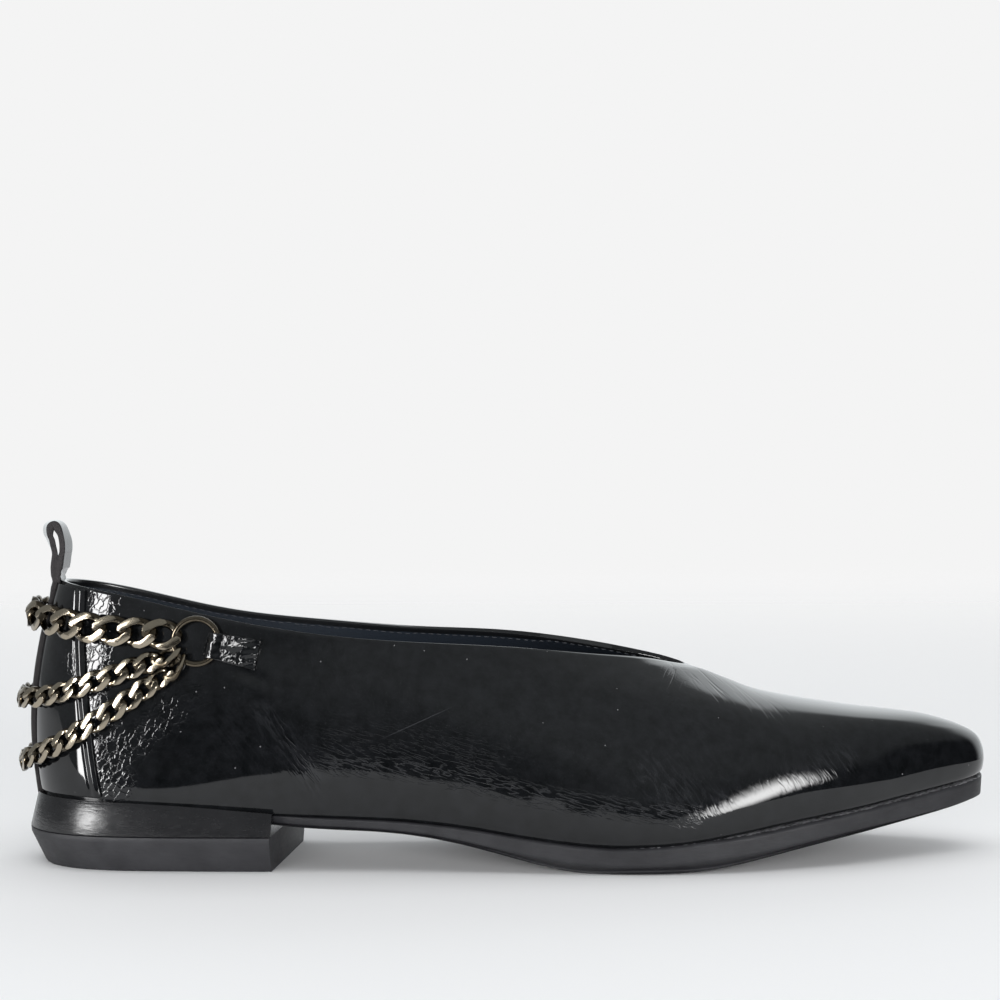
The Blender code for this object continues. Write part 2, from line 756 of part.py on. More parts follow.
def main():
    for obj in list(bpy.data.objects):
        bpy.data.objects.remove(obj, do_unlink=True)
    parts = new_collection("flat_shoe")
    cutters = new_collection("cutters")
    rubber = finish_material("black_rubber", (0.022, 0.022, 0.024), 0.6)
    satin = finish_material("satin_black_rubber", (0.012, 0.012, 0.013), 0.4)
    patent = finish_material("black_patent_leather", (0.006, 0.007, 0.007), 0.08)
    lining = finish_material("navy_lining_leather", (0.012, 0.014, 0.022), 0.55)
    steel = finish_material("gunmetal", (0.32, 0.29, 0.25), 0.25, 1.0)
    add_outsole(parts, rubber)
    add_heel_block(parts, cutters, satin)
    add_heel_lift(parts, rubber)
    add_upper(parts, patent)
    add_counter(parts, patent)
    add_insole(parts, lining)
    add_pull_strap(parts, patent)
    for name, side in (("lateral", -1), ("medial", 1)):
        add_ring(parts, steel, "ring_" + name, side)
        add_ring_tab(parts, patent, "ring_tab_" + name, side)
    for chain in CHAINS:
        add_chain(parts, cutters, steel, chain)


if __name__ == "__main__":
    main()
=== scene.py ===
"""The looks of a woman's flat shoe: crinkled black patent leather, a rubber sole and three curb chains round the heel.

Lengths in the tables are millimetres in the shoe's own frame: x toward the toe, y toward the medial side, z up.
"""

import json
import math
from collections import namedtuple
from functools import partial

import bpy
import numpy as np
from mathutils import Matrix, Vector, noise
from mathutils.bvhtree import BVHTree
from mathutils.kdtree import KDTree

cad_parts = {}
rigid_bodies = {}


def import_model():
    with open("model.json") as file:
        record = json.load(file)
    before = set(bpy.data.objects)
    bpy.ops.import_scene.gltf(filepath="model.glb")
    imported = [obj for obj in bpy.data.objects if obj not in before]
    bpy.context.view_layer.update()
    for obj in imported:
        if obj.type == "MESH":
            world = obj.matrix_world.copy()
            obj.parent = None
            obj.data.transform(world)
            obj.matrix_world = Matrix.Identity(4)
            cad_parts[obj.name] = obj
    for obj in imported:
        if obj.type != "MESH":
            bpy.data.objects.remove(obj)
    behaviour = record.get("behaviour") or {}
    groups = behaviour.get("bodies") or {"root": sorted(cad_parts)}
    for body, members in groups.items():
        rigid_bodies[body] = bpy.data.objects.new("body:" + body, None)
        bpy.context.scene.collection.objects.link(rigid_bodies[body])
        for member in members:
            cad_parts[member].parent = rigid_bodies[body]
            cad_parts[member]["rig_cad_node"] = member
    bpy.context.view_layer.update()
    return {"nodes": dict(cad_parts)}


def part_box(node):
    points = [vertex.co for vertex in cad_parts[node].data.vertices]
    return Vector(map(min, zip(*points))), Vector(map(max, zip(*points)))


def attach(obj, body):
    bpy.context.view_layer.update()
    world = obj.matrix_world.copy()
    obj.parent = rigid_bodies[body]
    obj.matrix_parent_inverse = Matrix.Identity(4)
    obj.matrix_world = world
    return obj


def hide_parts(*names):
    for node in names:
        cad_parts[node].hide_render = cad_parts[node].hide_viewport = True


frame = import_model()
NODES = frame["nodes"]
MM = 0.001

# The camera of a side view from low down: where it aims on the floor, how far off and how high it stands, and the
# picture's width, focal length and horizon above the middle in pixels
AIM = Vector((-1.9, -3.75, 0.0)) * MM
CAMERA_DISTANCE = 727.5 * MM
CAMERA_HEIGHT = 120.6 * MM
CAMERA_TURN = math.radians(1.75)
SENSOR_WIDTH = 36.0
PICTURE_WIDTH = 1000
FOCAL_PIXELS = 2600
HORIZON_PIXELS = 75

# The white table in metres: its size, its front edge and its slanting right edge, which the patent's lower sides and
# the toe mirror, and the depths between which it fades into the backdrop
TABLE_WIDTH = 6.0
TABLE_DEPTH = 3.2
TABLE_FRONT = -0.193
TABLE_RIGHT = 0.24
TABLE_FLARE = 0.19
TABLE_FADE = (0.15, 1.5)

# The studio's lights in metres and watts. The fills are kept out of the patent's mirror, and the last two are only seen
# there: the upright box beside the heel, and the slanting strip that gives the streak along the ball
Softbox = namedtuple("Softbox", "name spot target width height power tilt fading hidden_from")
SOFTBOXES = [
    Softbox("overhead_fill", (0.0, -0.1, 2.3), (0.0, 0.1, 0.0), 3.2, 3.2, 35.5, 0.0, 0.0, ["glossy"]),
    Softbox("front_fill", (0.0, -2.0, 0.3), (0.0, 0.0, 0.0), 3.0, 0.6, 74.0, 0.0, 0.0, ["glossy"]),
    Softbox("back_fill", (0.0, 1.7, 0.25), (0.0, 0.0, 0.0), 3.0, 0.5, 10.0, 0.0, 0.0, ["glossy", "camera"]),
    Softbox("left_softbox", (-0.79, -0.62, 0.14), (-0.11, -0.02, 0.05), 0.27, 0.62, 12.5, 0.0, 0.15, ["diffuse"]),
    Softbox("right_strip", (0.601, -0.763, 0.061), (0.072, -0.035, 0.023), 0.8, 0.26, 12.4, 29.0, 0.45, ["diffuse"]),
]

# A line through the shoe's hollow, that tells the outer skin of the upper from its lining
HOLLOW_X = [-100.0, -30.0, 40.0, 96.0]
HOLLOW_Y = [-3.7, -4.5, -1.5, 6.0]
HOLLOW_Z = [48.0, 44.0, 32.0, 27.0]

# Main creases of the lateral side, as soft troughs with a lower raised lip, through three points in side view
LIP = 0.45
Crease = namedtuple("Crease", "x0 z0 x1 z1 x2 z2 width depth")
CREASES = [
    Crease(-68.0, 47.0, -61.0, 37.5, -52.5, 24.0, 1.8, 0.045),
    Crease(-65.0, 41.0, -58.5, 33.0, -53.0, 24.0, 1.5, 0.035),
    Crease(-74.0, 54.6, -70.0, 53.4, -66.0, 51.0, 1.4, 0.12),
    Crease(-46.0, 31.0, -33.0, 31.5, -21.0, 29.5, 1.8, 0.03),
    Crease(-36.0, 28.0, -22.0, 27.0, -9.0, 23.5, 1.6, 0.035),
    Crease(-20.0, 29.0, -6.0, 26.0, 8.0, 22.0, 1.6, 0.035),
    Crease(-4.0, 24.0, 8.0, 20.0, 22.0, 17.5, 1.5, 0.04),
    Crease(14.0, 20.5, 24.0, 17.0, 36.0, 14.5, 1.5, 0.045),
    Crease(36.0, 29.0, 41.0, 24.0, 45.0, 19.0, 1.6, 0.05),
    Crease(40.5, 28.0, 46.0, 24.5, 51.0, 21.5, 1.5, 0.04),
    Crease(50.0, 24.0, 53.0, 20.0, 54.0, 15.5, 1.4, 0.05),
    Crease(54.5, 25.0, 57.5, 20.0, 58.5, 16.5, 1.4, 0.04),
    Crease(46.5, 54.5, 45.0, 51.0, 43.0, 47.0, 1.4, 0.06),
    Crease(51.0, 53.5, 53.5, 50.0, 57.0, 46.5, 1.4, 0.07),
    Crease(68.0, 45.0, 72.5, 42.5, 77.0, 40.0, 1.7, 0.05),
]

# Where the patent film crackles, and where it wrinkles along or across the shoe, as strokes in side view
Stroke = namedtuple("Stroke", "x0 z0 x1 z1 radius strength")
CRACKLE = [
    Stroke(-113.0, 75.0, -109.0, 72.0, 3.5, 0.8),
    Stroke(-112.5, 64.0, -111.0, 46.0, 4.0, 1.0),
    Stroke(-111.0, 46.0, -106.0, 25.0, 4.5, 1.0),
    Stroke(-105.0, 31.0, -91.0, 44.0, 5.0, 0.6),
    Stroke(-91.0, 44.0, -85.0, 48.0, 4.0, 0.35),
    Stroke(-120.0, 59.0, -117.5, 50.0, 2.5, 0.6),
]
WRINKLE_ALONG = [
    Stroke(-48.0, 29.5, -24.0, 28.0, 2.6, 0.9),
    Stroke(-24.0, 28.0, 4.0, 22.0, 3.0, 1.0),
    Stroke(4.0, 22.0, 48.0, 16.0, 2.8, 1.0),
    Stroke(-45.0, 36.0, -5.0, 33.0, 9.0, 0.3),
    Stroke(-20.0, 44.0, 30.0, 42.0, 8.0, 0.15),
]
WRINKLE_ACROSS = [
    Stroke(-66.0, 43.0, -53.0, 25.0, 3.5, 0.8),
    Stroke(38.0, 27.0, 50.0, 19.0, 6.0, 0.7),
    Stroke(50.0, 17.5, 57.0, 20.5, 3.0, 1.0),
    Stroke(57.0, 21.0, 74.0, 24.5, 2.5, 0.35),
    Stroke(74.0, 24.5, 92.0, 29.0, 3.5, 0.9),
    Stroke(46.0, 50.0, 50.0, 28.0, 10.0, 0.2),
    Stroke(-75.0, 38.0, -45.0, 30.0, 8.0, 0.2),
]
WRINKLE_VAMP = [
    Stroke(50.0, 53.5, 57.5, 46.5, 2.6, 1.0),
    Stroke(62.0, 46.0, 74.0, 41.0, 3.0, 0.5),
]
WRINKLE_FAN = [
    Stroke(46.5, 53.5, 43.0, 46.5, 3.0, 1.0),
    Stroke(38.0, 54.0, 36.0, 50.0, 2.5, 0.4),
]

STROKE_SOFTNESS = (1.4, 0.4)
PATENT_MARKS = {
    "crackle": CRACKLE,
    "wrinkle_along": WRINKLE_ALONG,
    "wrinkle_across": WRINKLE_ACROSS,
    "wrinkle_fan": WRINKLE_FAN,
    "wrinkle_vamp": WRINKLE_VAMP,
}

# Wrinkles of each kind: the way that their hairlines run, how far they are drawn out, their spacing, width and depth
Wrinkle = namedtuple("Wrinkle", "mark way stretch spacing width depth")
WRINKLES = [
    Wrinkle("wrinkle_along", (0.955, 0.0, -0.296), 8.0, 0.90909, 0.05, 0.035),
    Wrinkle("wrinkle_across", (0.58, 0.0, -0.81), 6.0, 1.6129, 0.09, 0.025),
    Wrinkle("wrinkle_fan", (0.28, 0.91, 0.3), 14.0, 1.9231, 0.08, 0.06),
    Wrinkle("wrinkle_vamp", (0.35, -0.87, -0.36), 14.0, 2.381, 0.07, 0.06),
]

# A long scratch on the lateral side
SCRATCH_MIDDLE = Vector((-25.3, -35.0, 40.6))
SCRATCH_SLOPE = math.atan2(8.2, 17.8)
SCRATCH_HALF_WIDTH = (0.03, 0.13)
SCRATCH_HALF_LENGTH = (4.0, 12.0)
SCRATCH_DEPTH = (20.0, 21.0)

# Chains: pitch, width and wire of a link, how far its end links roll onto their edges, and how far the chain drops at
# the heel's back and rises at the rings
Chain = namedtuple("Chain", "node pitch width wire roll back_drop ring_lift")
CHAINS = [
    Chain("chain_top", 6.8, 8.6, 2.2, 0.0, 0.9, 0.9),
    Chain("chain_middle", 5.4, 6.1, 1.7, math.radians(40.0), 0.0, 0.0),
    Chain("chain_bottom", 5.4, 6.1, 1.7, math.radians(45.0), 0.0, 0.0),
]
CHAIN_REACH = (-136.0, -95.0)
HEEL_TURN = Vector((-80.0, -3.7, 0.0)) * MM
LINE_STEPS = 60
LINE_INSET = 0.06
LINE_WINDOW = 0.07

# A link: its length past the pitch in wires, its twist and its play on the chain, the two filed facets, and how pale
# the plating is drawn: worn pale on the facets, a little on the rings, and dark elsewhere as painted shade
LINK_OVERLAP = 0.9
LINK_TWIST = math.radians(-84.0)
LINK_PLAY = math.radians(14.0)
ROLLED_LINKS = 2
HOOK_OVERLAP = 0.1
LINK_SIGHT = 1.5 * MM
FACET_LEAN = 0.14
FACET_HEIGHT = 0.34
FACET_LEVEL = 0.97
FACET_RUBBED = 0.75
RING_WEAR_AND_SHADE = 0.15
RING_RADIUS = 6.2 * MM
RING_WIRE_GROWN = 0.16 * MM

# How far the side swells low down, by stations along the shoe, and the height where the swell is fullest
Swell = namedtuple("Swell", "x z out spread")
SWELLS = [
    Swell(-130.0, 18.0, 0.9, 7.0),
    Swell(-108.0, 18.0, 0.9, 7.0),
    Swell(-90.0, 18.0, 0.8, 7.0),
    Swell(-70.0, 22.0, 0.55, 7.0),
    Swell(-49.0, 23.0, 0.3, 7.0),
    Swell(-28.0, 22.0, 0.35, 7.0),
    Swell(0.0, 16.5, 1.0, 7.0),
    Swell(20.0, 13.5, 1.05, 7.0),
    Swell(48.0, 10.5, 1.0, 7.0),
    Swell(62.0, 11.0, 0.7, 7.0),
    Swell(75.0, 12.5, 0.7, 7.0),
    Swell(90.0, 14.0, 0.9, 7.0),
    Swell(110.0, 16.5, 0.9, 6.5),
    Swell(125.0, 21.0, 0.9, 5.5),
    Swell(134.0, 25.0, 1.2, 4.0),
    Swell(140.0, 26.0, 1.3, 3.5),
]

# How far the feather edge lies below the sole's top in the CAD, and how much thinner the sole gets toward the toe
FEATHER_X = [-90.0, -66.0, -45.0, -10.0, 27.0, 52.0, 70.0, 130.0]
FEATHER_DROP = [1.6, 1.6, 1.2, 0.9, 1.2, 0.3, 0.8, 0.8]
UPPER_DROP = [1.6, 1.6, 1.2, 0.9, 0.9, 0.2, 0.0, 0.0]
SOLE_THINNED = [0.0, 0.0, 0.0, 0.0, 0.0, 0.0, 0.2, 0.7]

# The upper's skin: where the toe is smoothed before and after it is shaped, its filled-out upper side, the shoulder of
# the vamp below the throat, the collar's flare beside it, the tuck above the sole, and how the throat's two rims part
FOOT_KEPT = 1.5
TOE_CAST_X = 104.0
TOE_CAST_REPEATS = 24
TOE_BLEND_X = 92.0
TOE_BLEND_REPEATS = 5
TOE_FILL = 0.7
TOE_FILL_X = (100.0, 118.0)
TOE_FILL_Z = (28.0, 32.0)
SIDES_MEET = 4.0
UNEVEN = 0.05
UNEVEN_SIZE = 24.0
SHOULDER = Stroke(44.0, 53.0, 60.0, 49.0, 6.0, 0.95)
SHOULDER_BELOW = 5.0
Rim = namedtuple("Rim", "x spread drop")
FLARE = Rim(34.0, 9.0, 4.0)
FLARE_OUT = 0.9
TUCK_IN = 0.5
TUCK_X = (-40.0, -10.0)
UPPER_FOOT = 7.0
THROAT = Rim(46.0, 5.0, 3.0)
THROAT_SIDES = (-3.0, 0.0, 3.0)
THROAT_MOVED = (-0.35, 0.0, 0.5)

# How finely a piece's ends are looked up along the shoe or up its height
STATION_STEP = 2.0
STATION_REACH = 1.6
COUNTER_HEIGHTS = np.arange(12.0, 84.0, STATION_STEP)
NO_EDGE = -200.0

# The counter behind its front edge: the turned edge, the welt and the sunk seam beside it
TURNED_WIDTH = 1.3
TURNED_IN = 0.75
Ridge = namedtuple("Ridge", "behind width out")
COUNTER_RIDGES = [Ridge(1.5, 0.6, 0.3), Ridge(2.9, 0.35, -0.2)]
CRACKLE_BEHIND = (1.0, 3.0)

# A ring tab by shares of its length: its taper, where it is sewn down and puckered, and its crumples
TAB_TAPER = (0.86, 1.12)
TAB_SEWN = 0.78
SEWN_WIDTH = 0.2
PUCKER_DEPTH = 0.09
PUCKERS = 3.0
TAB_SEAMS = (0.68, 0.93)
SEAM_WIDTH = 0.035
SEAM_DEPTH = 0.16
Crumple = namedtuple("Crumple", "size depth seed")
CRUMPLES = [Crumple(3.2, 0.34, 5.0), Crumple(1.4, 0.14, 9.0)]

# The outsole's chafed rim below its top edge. The heel block's top, raised at the back, its foot that closes the joint
# with the lift, and its breast
RIM_WORN = (1.05, 0.35)
RIM_WORN_X = (10.0, 40.0)
BLOCK_X = (-125.0, -72.0)
BLOCK_RAISED = (1.0, -0.1)
BLOCK_TOP = (11.0, 13.0)
BLOCK_FOOT = (9.0, 8.0)
JOINT_CLOSED = 0.16
BREAST_X = (-85.0, -72.0)
BREAST_FORWARD = 1.2

# The pull loop by heights over the collar: where the slit between its strands runs at the lateral edge, how far it
# turns across the strap, and how far each strand is drawn forward and swells. Then the front strand's jog at the collar
# and the strap's foot on the heel
STRAP_RISE = 16.3
STRAP_EDGE = -8.6
SLIT_HEIGHTS = [5.0, 8.0, 10.0, 12.0, 13.2]
SLIT_X = [-125.0, -124.8, -125.1, -125.5, -125.9]
SLIT_TURN = [-0.02, -0.02, -0.06, -0.085, -0.125]
REAR_HEIGHTS = [-30.0, -15.0, -4.5, -1.9, -0.25, 1.4, 3.0, 4.7, 6.4, 8.0, 9.7, 11.4, 12.5, 14.0, 15.5]
REAR_DRAWN = [0.65, 0.75, 1.05, 0.8, 1.0, 0.6, 0.65, 0.7, 0.68, 0.5, 0.33, 0.45, 0.25, 0.5, 0.35]
FRONT_HEIGHTS = [0.0, 1.4, 3.0, 4.7, 6.4, 8.0, 12.5, 14.0, 15.5]
FRONT_DRAWN = [0.0, 0.18, -0.26, 0.09, 0.15, 0.44, 0.45, 0.2, 0.35]
SWELL_HEIGHTS = [-2.0, 2.0, 4.0, 6.4, 7.5, 12.5, 14.0]
STRAND_SWELL = [0.2, 0.3, 0.3, 0.22, 0.06, 0.06, 0.35]
JOG_X = -126.1
JOG_HEIGHTS = (3.3, 1.8)
JOG_PULLED = 0.6
JOG_LOWERED = 0.8
STRAP_FOOT = 8.0
STRAP_LONGER = 2.0
EDGE_FACING = 0.75

# The patent facing inside the collar and the width of its edge, the lining far below it, and the row of stitches that
# holds it, looked up round the middle of the shoe's mouth
FACING = 1.7
FACING_EDGE = 0.15
DEEP_INSIDE = 30.0
STITCH_DROP = 2.0
STITCH_BAND = 0.6
STITCH_LENGTH = 1.5
STITCH_PITCH = 2.3
STITCH_WIDTH = 0.36
STITCH_SIGHT = 0.8
MOUTH_X = -45.0
MOUTH_Y = -4.0
MOUTH_STEP = 0.02
MOUTH_WINDOW = 0.03


def linear(code):
    """An sRGB hex colour as linear red, green, blue and alpha."""
    channels = [int(code[i : i + 2], 16) / 255 for i in (1, 3, 5)]
    return (*[c / 12.92 if c <= 0.04045 else ((c + 0.055) / 1.055) ** 2.4 for c in channels], 1.0)


def grain(size):
    """The scale of a pattern whose marks are about this many millimetres apart."""
    return 1 / (size * MM)


def feed(node, links):
    """Links sockets, or other nodes' first outputs, into a node."""
    for socket, source in links.items():
        node.id_data.links.new(getattr(source, "outputs", [source])[0], node.inputs[socket])


def add_node(tree, kind, values=None, links=None, **settings):
    """One shader node with its settings, its sockets' values and what is linked into them."""
    node = tree.nodes.new("ShaderNode" + kind)
    for name, value in settings.items():
        setattr(node, name, value)
    for socket, value in (values or {}).items():
        node.inputs[socket].default_value = value
    feed(node, links or {})
    return node


def new_material(name, **values):
    """A material with values on its shader's own sockets, and what adds nodes to it."""
    material = bpy.data.materials.new(name)
    material.use_nodes = True
    shader = material.node_tree.nodes["Principled BSDF"]
    for socket, value in values.items():
        shader.inputs[socket.replace("_", " ").title().replace("Ior", "IOR")].default_value = value
    return material, partial(add_node, material.node_tree), shader


def hairlines(add, place, wrinkle):
    """Thin lines where a drawn-out noise crosses its middle value, like creases in a film, within a painted mask."""
    way = Vector(wrinkle.way).normalized()
    along = Vector((1.0, 0.0, 0.0))
    turn = {"Axis": way.cross(along).normalized(), "Angle": way.angle(along)}
    laid = add("VectorRotate", turn, {"Vector": place}, rotation_type="AXIS_ANGLE")
    drawn = add("Mapping", {"Scale": (1 / wrinkle.stretch, 1.0, 1.0)}, {"Vector": laid})
    film = add("TexNoise", {"Scale": grain(wrinkle.spacing), "Detail": 2.0}, {"Vector": drawn})
    off = add("Math", {1: 0.5}, {0: film.outputs["Fac"]}, operation="SUBTRACT")
    away = add("Math", links={0: off}, operation="ABSOLUTE")
    line = add("MapRange", {2: wrinkle.width, 3: 1.0, 4: 0.0}, {0: away}, interpolation_type="SMOOTHSTEP")
    where = add("Attribute", attribute_name=wrinkle.mark)
    return add("Math", links={0: line, 1: where.outputs["Fac"]}, operation="MULTIPLY")


def dust_specks(add, place):
    """Lint and dust: faint specks a fifth of a millimetre across, a few to a square centimetre."""
    specks = add("TexVoronoi", {"Scale": grain(5.8824)}, {"Vector": place})
    return add("MapRange", {1: 0.012, 2: 0.04, 3: 1.0, 4: 0.0}, {0: specks.outputs["Distance"]})


def crackled_film(add, place):
    """Crackle: plates about 1.7 mm across that swell a little, with thin cracks between, none of them straight."""
    bend = add("TexNoise", {"Scale": grain(2.381), "Detail": 2.0}, {"Vector": place})
    bent = add("Mix", {0: 0.0026}, {4: place, 5: bend.outputs["Color"]}, data_type="VECTOR")
    laid = add("VectorRotate", {"Angle": 1.1}, {"Vector": bent.outputs[1]}, rotation_type="Y_AXIS")
    drawn = add("Mapping", {"Scale": (0.5, 1.0, 1.0)}, {"Vector": laid})
    plates = add("TexVoronoi", {"Scale": grain(1.7857)}, {"Vector": drawn}, feature="DISTANCE_TO_EDGE")
    crack = add("MapRange", {2: 0.12, 3: 1.0, 4: 0.0}, {0: plates.outputs["Distance"]}, interpolation_type="SMOOTHSTEP")
    where = add("Attribute", attribute_name="crackle").outputs["Fac"]
    return [
        add("Math", links={0: height, 1: where}, operation="MULTIPLY")
        for height in (crack, bend.outputs["Fac"])
    ]


def long_scratch(add, place):
    """One long scratch on the lateral side, as thin as a hair and fading to both ends."""
    middle = SCRATCH_MIDDLE * MM
    level = add("VectorRotate", {"Center": middle, "Angle": SCRATCH_SLOPE}, {"Vector": place}, rotation_type="Y_AXIS")
    off = add("VectorMath", {1: middle}, {0: level}, operation="SUBTRACT")
    off = add("VectorMath", links={0: off}, operation="ABSOLUTE")
    off = add("SeparateXYZ", links={0: off})
    scratch = None
    for axis, (full, gone) in (("Z", SCRATCH_HALF_WIDTH), ("X", SCRATCH_HALF_LENGTH), ("Y", SCRATCH_DEPTH)):
        near = add("MapRange", {1: full * MM, 2: gone * MM, 3: 1.0, 4: 0.0}, {0: off.outputs[axis]})
        if scratch:
            near = add("Math", links={0: scratch, 1: near}, operation="MULTIPLY")
        scratch = near
    return scratch


def patent_leather():
    """Black patent leather: a cast plastic film over hide, so a deep black with a wet gloss that shows every crease."""
    material, add, shader = new_material(
        "black_patent_leather",
        roughness=0.5,
        specular_ior_level=0.0,
        coat_weight=1.0,
        coat_roughness=0.05,
        coat_ior=1.5,
    )
    place = add("TexCoord").outputs["Object"]

    # Handling: faint cloudy smears a few millimetres across
    smear = add("TexNoise", {"Scale": grain(3.8462), "Detail": 6.0, "Roughness": 0.7}, {"Vector": place})
    cloud = add("MapRange", {1: 0.33, 2: 0.67}, {0: smear.outputs["Fac"]})
    tint = add("Mix", {6: linear("#060708"), 7: linear("#111214")}, {0: cloud}, data_type="RGBA").outputs[2]

    # Wrinkles: hairlines drawn out along the shoe, others that fall across it, and two fans of them below the throat
    wrinkles = [hairlines(add, place, wrinkle) for wrinkle in WRINKLES]

    # Dust lies a little paler in the hairlines and the scratch, and palest in the specks
    hairs = add("Math", links={0: wrinkles[0], 1: wrinkles[1]}, operation="ADD")
    for dust, share, colour in (
        (hairs, 0.3, "#2c2d30"),
        (long_scratch(add, place), 0.7, "#343538"),
        (dust_specks(add, place), 1.0, "#747476"),
    ):
        caught = add("MapRange", {4: share}, {0: dust})
        tint = add("Mix", {7: linear(colour)}, {0: caught, 6: tint}, data_type="RGBA").outputs[2]
    feed(shader, {"Base Color": tint})

    # The film's relief: how deep each kind of mark is, in millimetres, and whether it is sunk
    film = add("TexNoise", {"Scale": grain(11.111), "Detail": 2.0}, {"Vector": place}).outputs["Fac"]
    cracks, plates = crackled_film(add, place)
    relief = None
    for height, depth, sunk in (
        (film, 0.03, False),
        *[(lines, wrinkle.depth, True) for lines, wrinkle in zip(wrinkles, WRINKLES)],
        (plates, 0.09, False),
        (cracks, 0.06, True),
    ):
        bump = add("Bump", {"Strength": 1.0, "Distance": depth * MM}, {"Height": height})
        bump.invert = sunk
        if relief:
            feed(bump, {"Normal": relief})
        relief = bump
    feed(shader, {"Normal": relief, "Coat Normal": relief})
    return material


def lining_leather():
    """Navy lining: thin, smooth goatskin that takes the light softly, under a strip of patent along the collar."""
    material, add, shader = new_material("navy_lining_leather", roughness=0.36, coat_roughness=0.06)
    place = add("TexCoord").outputs["Object"]
    drop = add("Attribute", attribute_name="below_collar")
    strip = add(
        "MapRange", {1: FACING - FACING_EDGE, 2: FACING + FACING_EDGE, 3: 1.0, 4: 0.0}, {0: drop.outputs["Fac"]}
    )
    shade = add("Mix", {6: linear("#1f242b"), 7: linear("#0c0d0f")}, {0: strip}, data_type="RGBA")
    feed(shader, {"Base Color": shade.outputs[2], "Coat Weight": strip})
    pores = add("TexNoise", {"Scale": grain(0.66667), "Detail": 2.0}, {"Vector": place})
    bump = add("Bump", {"Strength": 0.5, "Distance": 0.1 * MM}, {"Height": pores.outputs["Fac"]})
    feed(shader, {"Normal": bump})
    return material


def waxed_thread():
    """Grey waxed thread: matt, with a little sheen where it is pulled tight."""
    material, _, _ = new_material("grey_waxed_thread", base_color=linear("#33353a"), roughness=0.5)
    return material


def cut_rubber(name, dark, light, roughness):
    """Black rubber, cut and ground at its edge: dull, a little dusty, with fine lines from the grinding wheel."""
    material, add, shader = new_material(name)
    place = add("TexCoord").outputs["Object"]
    ground = add("Mapping", {"Scale": (0.25, 0.25, 1.0)}, {"Vector": place})
    lines = add("TexNoise", {"Scale": grain(0.71429), "Detail": 4.0}, {"Vector": ground})
    dust = add("TexNoise", {"Scale": grain(7.1429), "Detail": 6.0, "Roughness": 0.65}, {"Vector": place})
    shade = add("ValToRGB", links={"Fac": dust.outputs["Fac"]})
    for stop, position, colour in zip(shade.color_ramp.elements, (0.35, 0.75), (dark, light)):
        stop.position, stop.color = position, linear(colour)
    rim = add("Attribute", attribute_name="worn")
    crumbs = add("TexNoise", {"Scale": grain(1.1111), "Detail": 3.0}, {"Vector": place})
    chafed = add("Math", links={0: rim.outputs["Fac"], 1: crumbs.outputs["Fac"]}, operation="MULTIPLY")
    pale = add("MapRange", {1: 0.36, 2: 0.56}, {0: chafed})
    tint = add("Mix", {7: linear("#77777a")}, {0: pale, 6: shade.outputs["Color"]}, data_type="RGBA")
    feed(shader, {"Base Color": tint.outputs[2]})
    rough = add("MapRange", {3: roughness - 0.08, 4: roughness + 0.12}, {0: lines.outputs["Fac"]})
    feed(shader, {"Roughness": rough})
    bump = add("Bump", {"Strength": 0.6, "Distance": 0.12 * MM}, {"Height": lines.outputs["Fac"]})
    feed(shader, {"Normal": bump})
    return material


def gunmetal():
    """Gunmetal plating: pale where the links are filed and worn, and near black elsewhere, which is painted shade
    between the links.
    """
    material, add, shader = new_material("gunmetal_plating", metallic=1.0)
    place = add("TexCoord").outputs["Object"]
    # Paleness of the plating: worn pale on the filed facets, and dark as painted shade on the rest of each link
    polish_and_painted_shade = add("Attribute", attribute_name="polish_and_painted_shade")
    smear = add("TexNoise", {"Scale": grain(2.0), "Detail": 3.0}, {"Vector": place})
    worn = add("Math", {1: 0.5}, {0: smear.outputs["Fac"], 2: polish_and_painted_shade.outputs["Fac"]}, operation="MULTIPLY_ADD")
    shade = add("ValToRGB", links={"Fac": worn})
    for stop, position, colour in zip(shade.color_ramp.elements, (0.2, 0.95), ("#463e32", "#a59b8a")):
        stop.position, stop.color = position, linear(colour)
    feed(shader, {"Base Color": shade.outputs["Color"]})
    rough = add("MapRange", {3: 0.12, 4: 0.26}, {0: smear.outputs["Fac"]})
    feed(shader, {"Roughness": rough})
    return material


def raw_edge():
    """The strap's cut edge: undyed grey fibre between two films, matt and furry."""
    material, add, shader = new_material("raw_leather_edge", roughness=0.85)
    place = add("TexCoord").outputs["Object"]
    fibre = add("TexNoise", {"Scale": grain(0.55556), "Detail": 3.0}, {"Vector": place})
    shade = add("ValToRGB", links={"Fac": fibre.outputs["Fac"]})
    for stop, colour in zip(shade.color_ramp.elements, ("#131213", "#302d2e")):
        stop.color = linear(colour)
    feed(shader, {"Base Color": shade.outputs["Color"]})
    return material


def work_on(piece):
    bpy.ops.object.select_all(action="DESELECT")
    piece.select_set(True)
    bpy.context.view_layer.objects.active = piece


def take_copy(node, name):
    """A copy of a CAD node as one skin of quads, ready to be worked on."""
    work_on(NODES[node])
    bpy.ops.object.duplicate()
    piece = bpy.context.object
    piece.name = name
    piece.data.name = name
    piece.parent = None
    del piece["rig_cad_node"]
    bpy.ops.object.mode_set(mode="EDIT")
    bpy.ops.mesh.select_all(action="SELECT")
    bpy.ops.mesh.remove_doubles(threshold=0.01 * MM)
    bpy.ops.mesh.tris_convert_to_quads(face_threshold=math.pi, shape_threshold=math.pi, topology_influence=2.0)
    bpy.ops.mesh.customdata_custom_splitnormals_clear()
    bpy.ops.object.mode_set(mode="OBJECT")
    piece.data.materials.clear()
    return piece


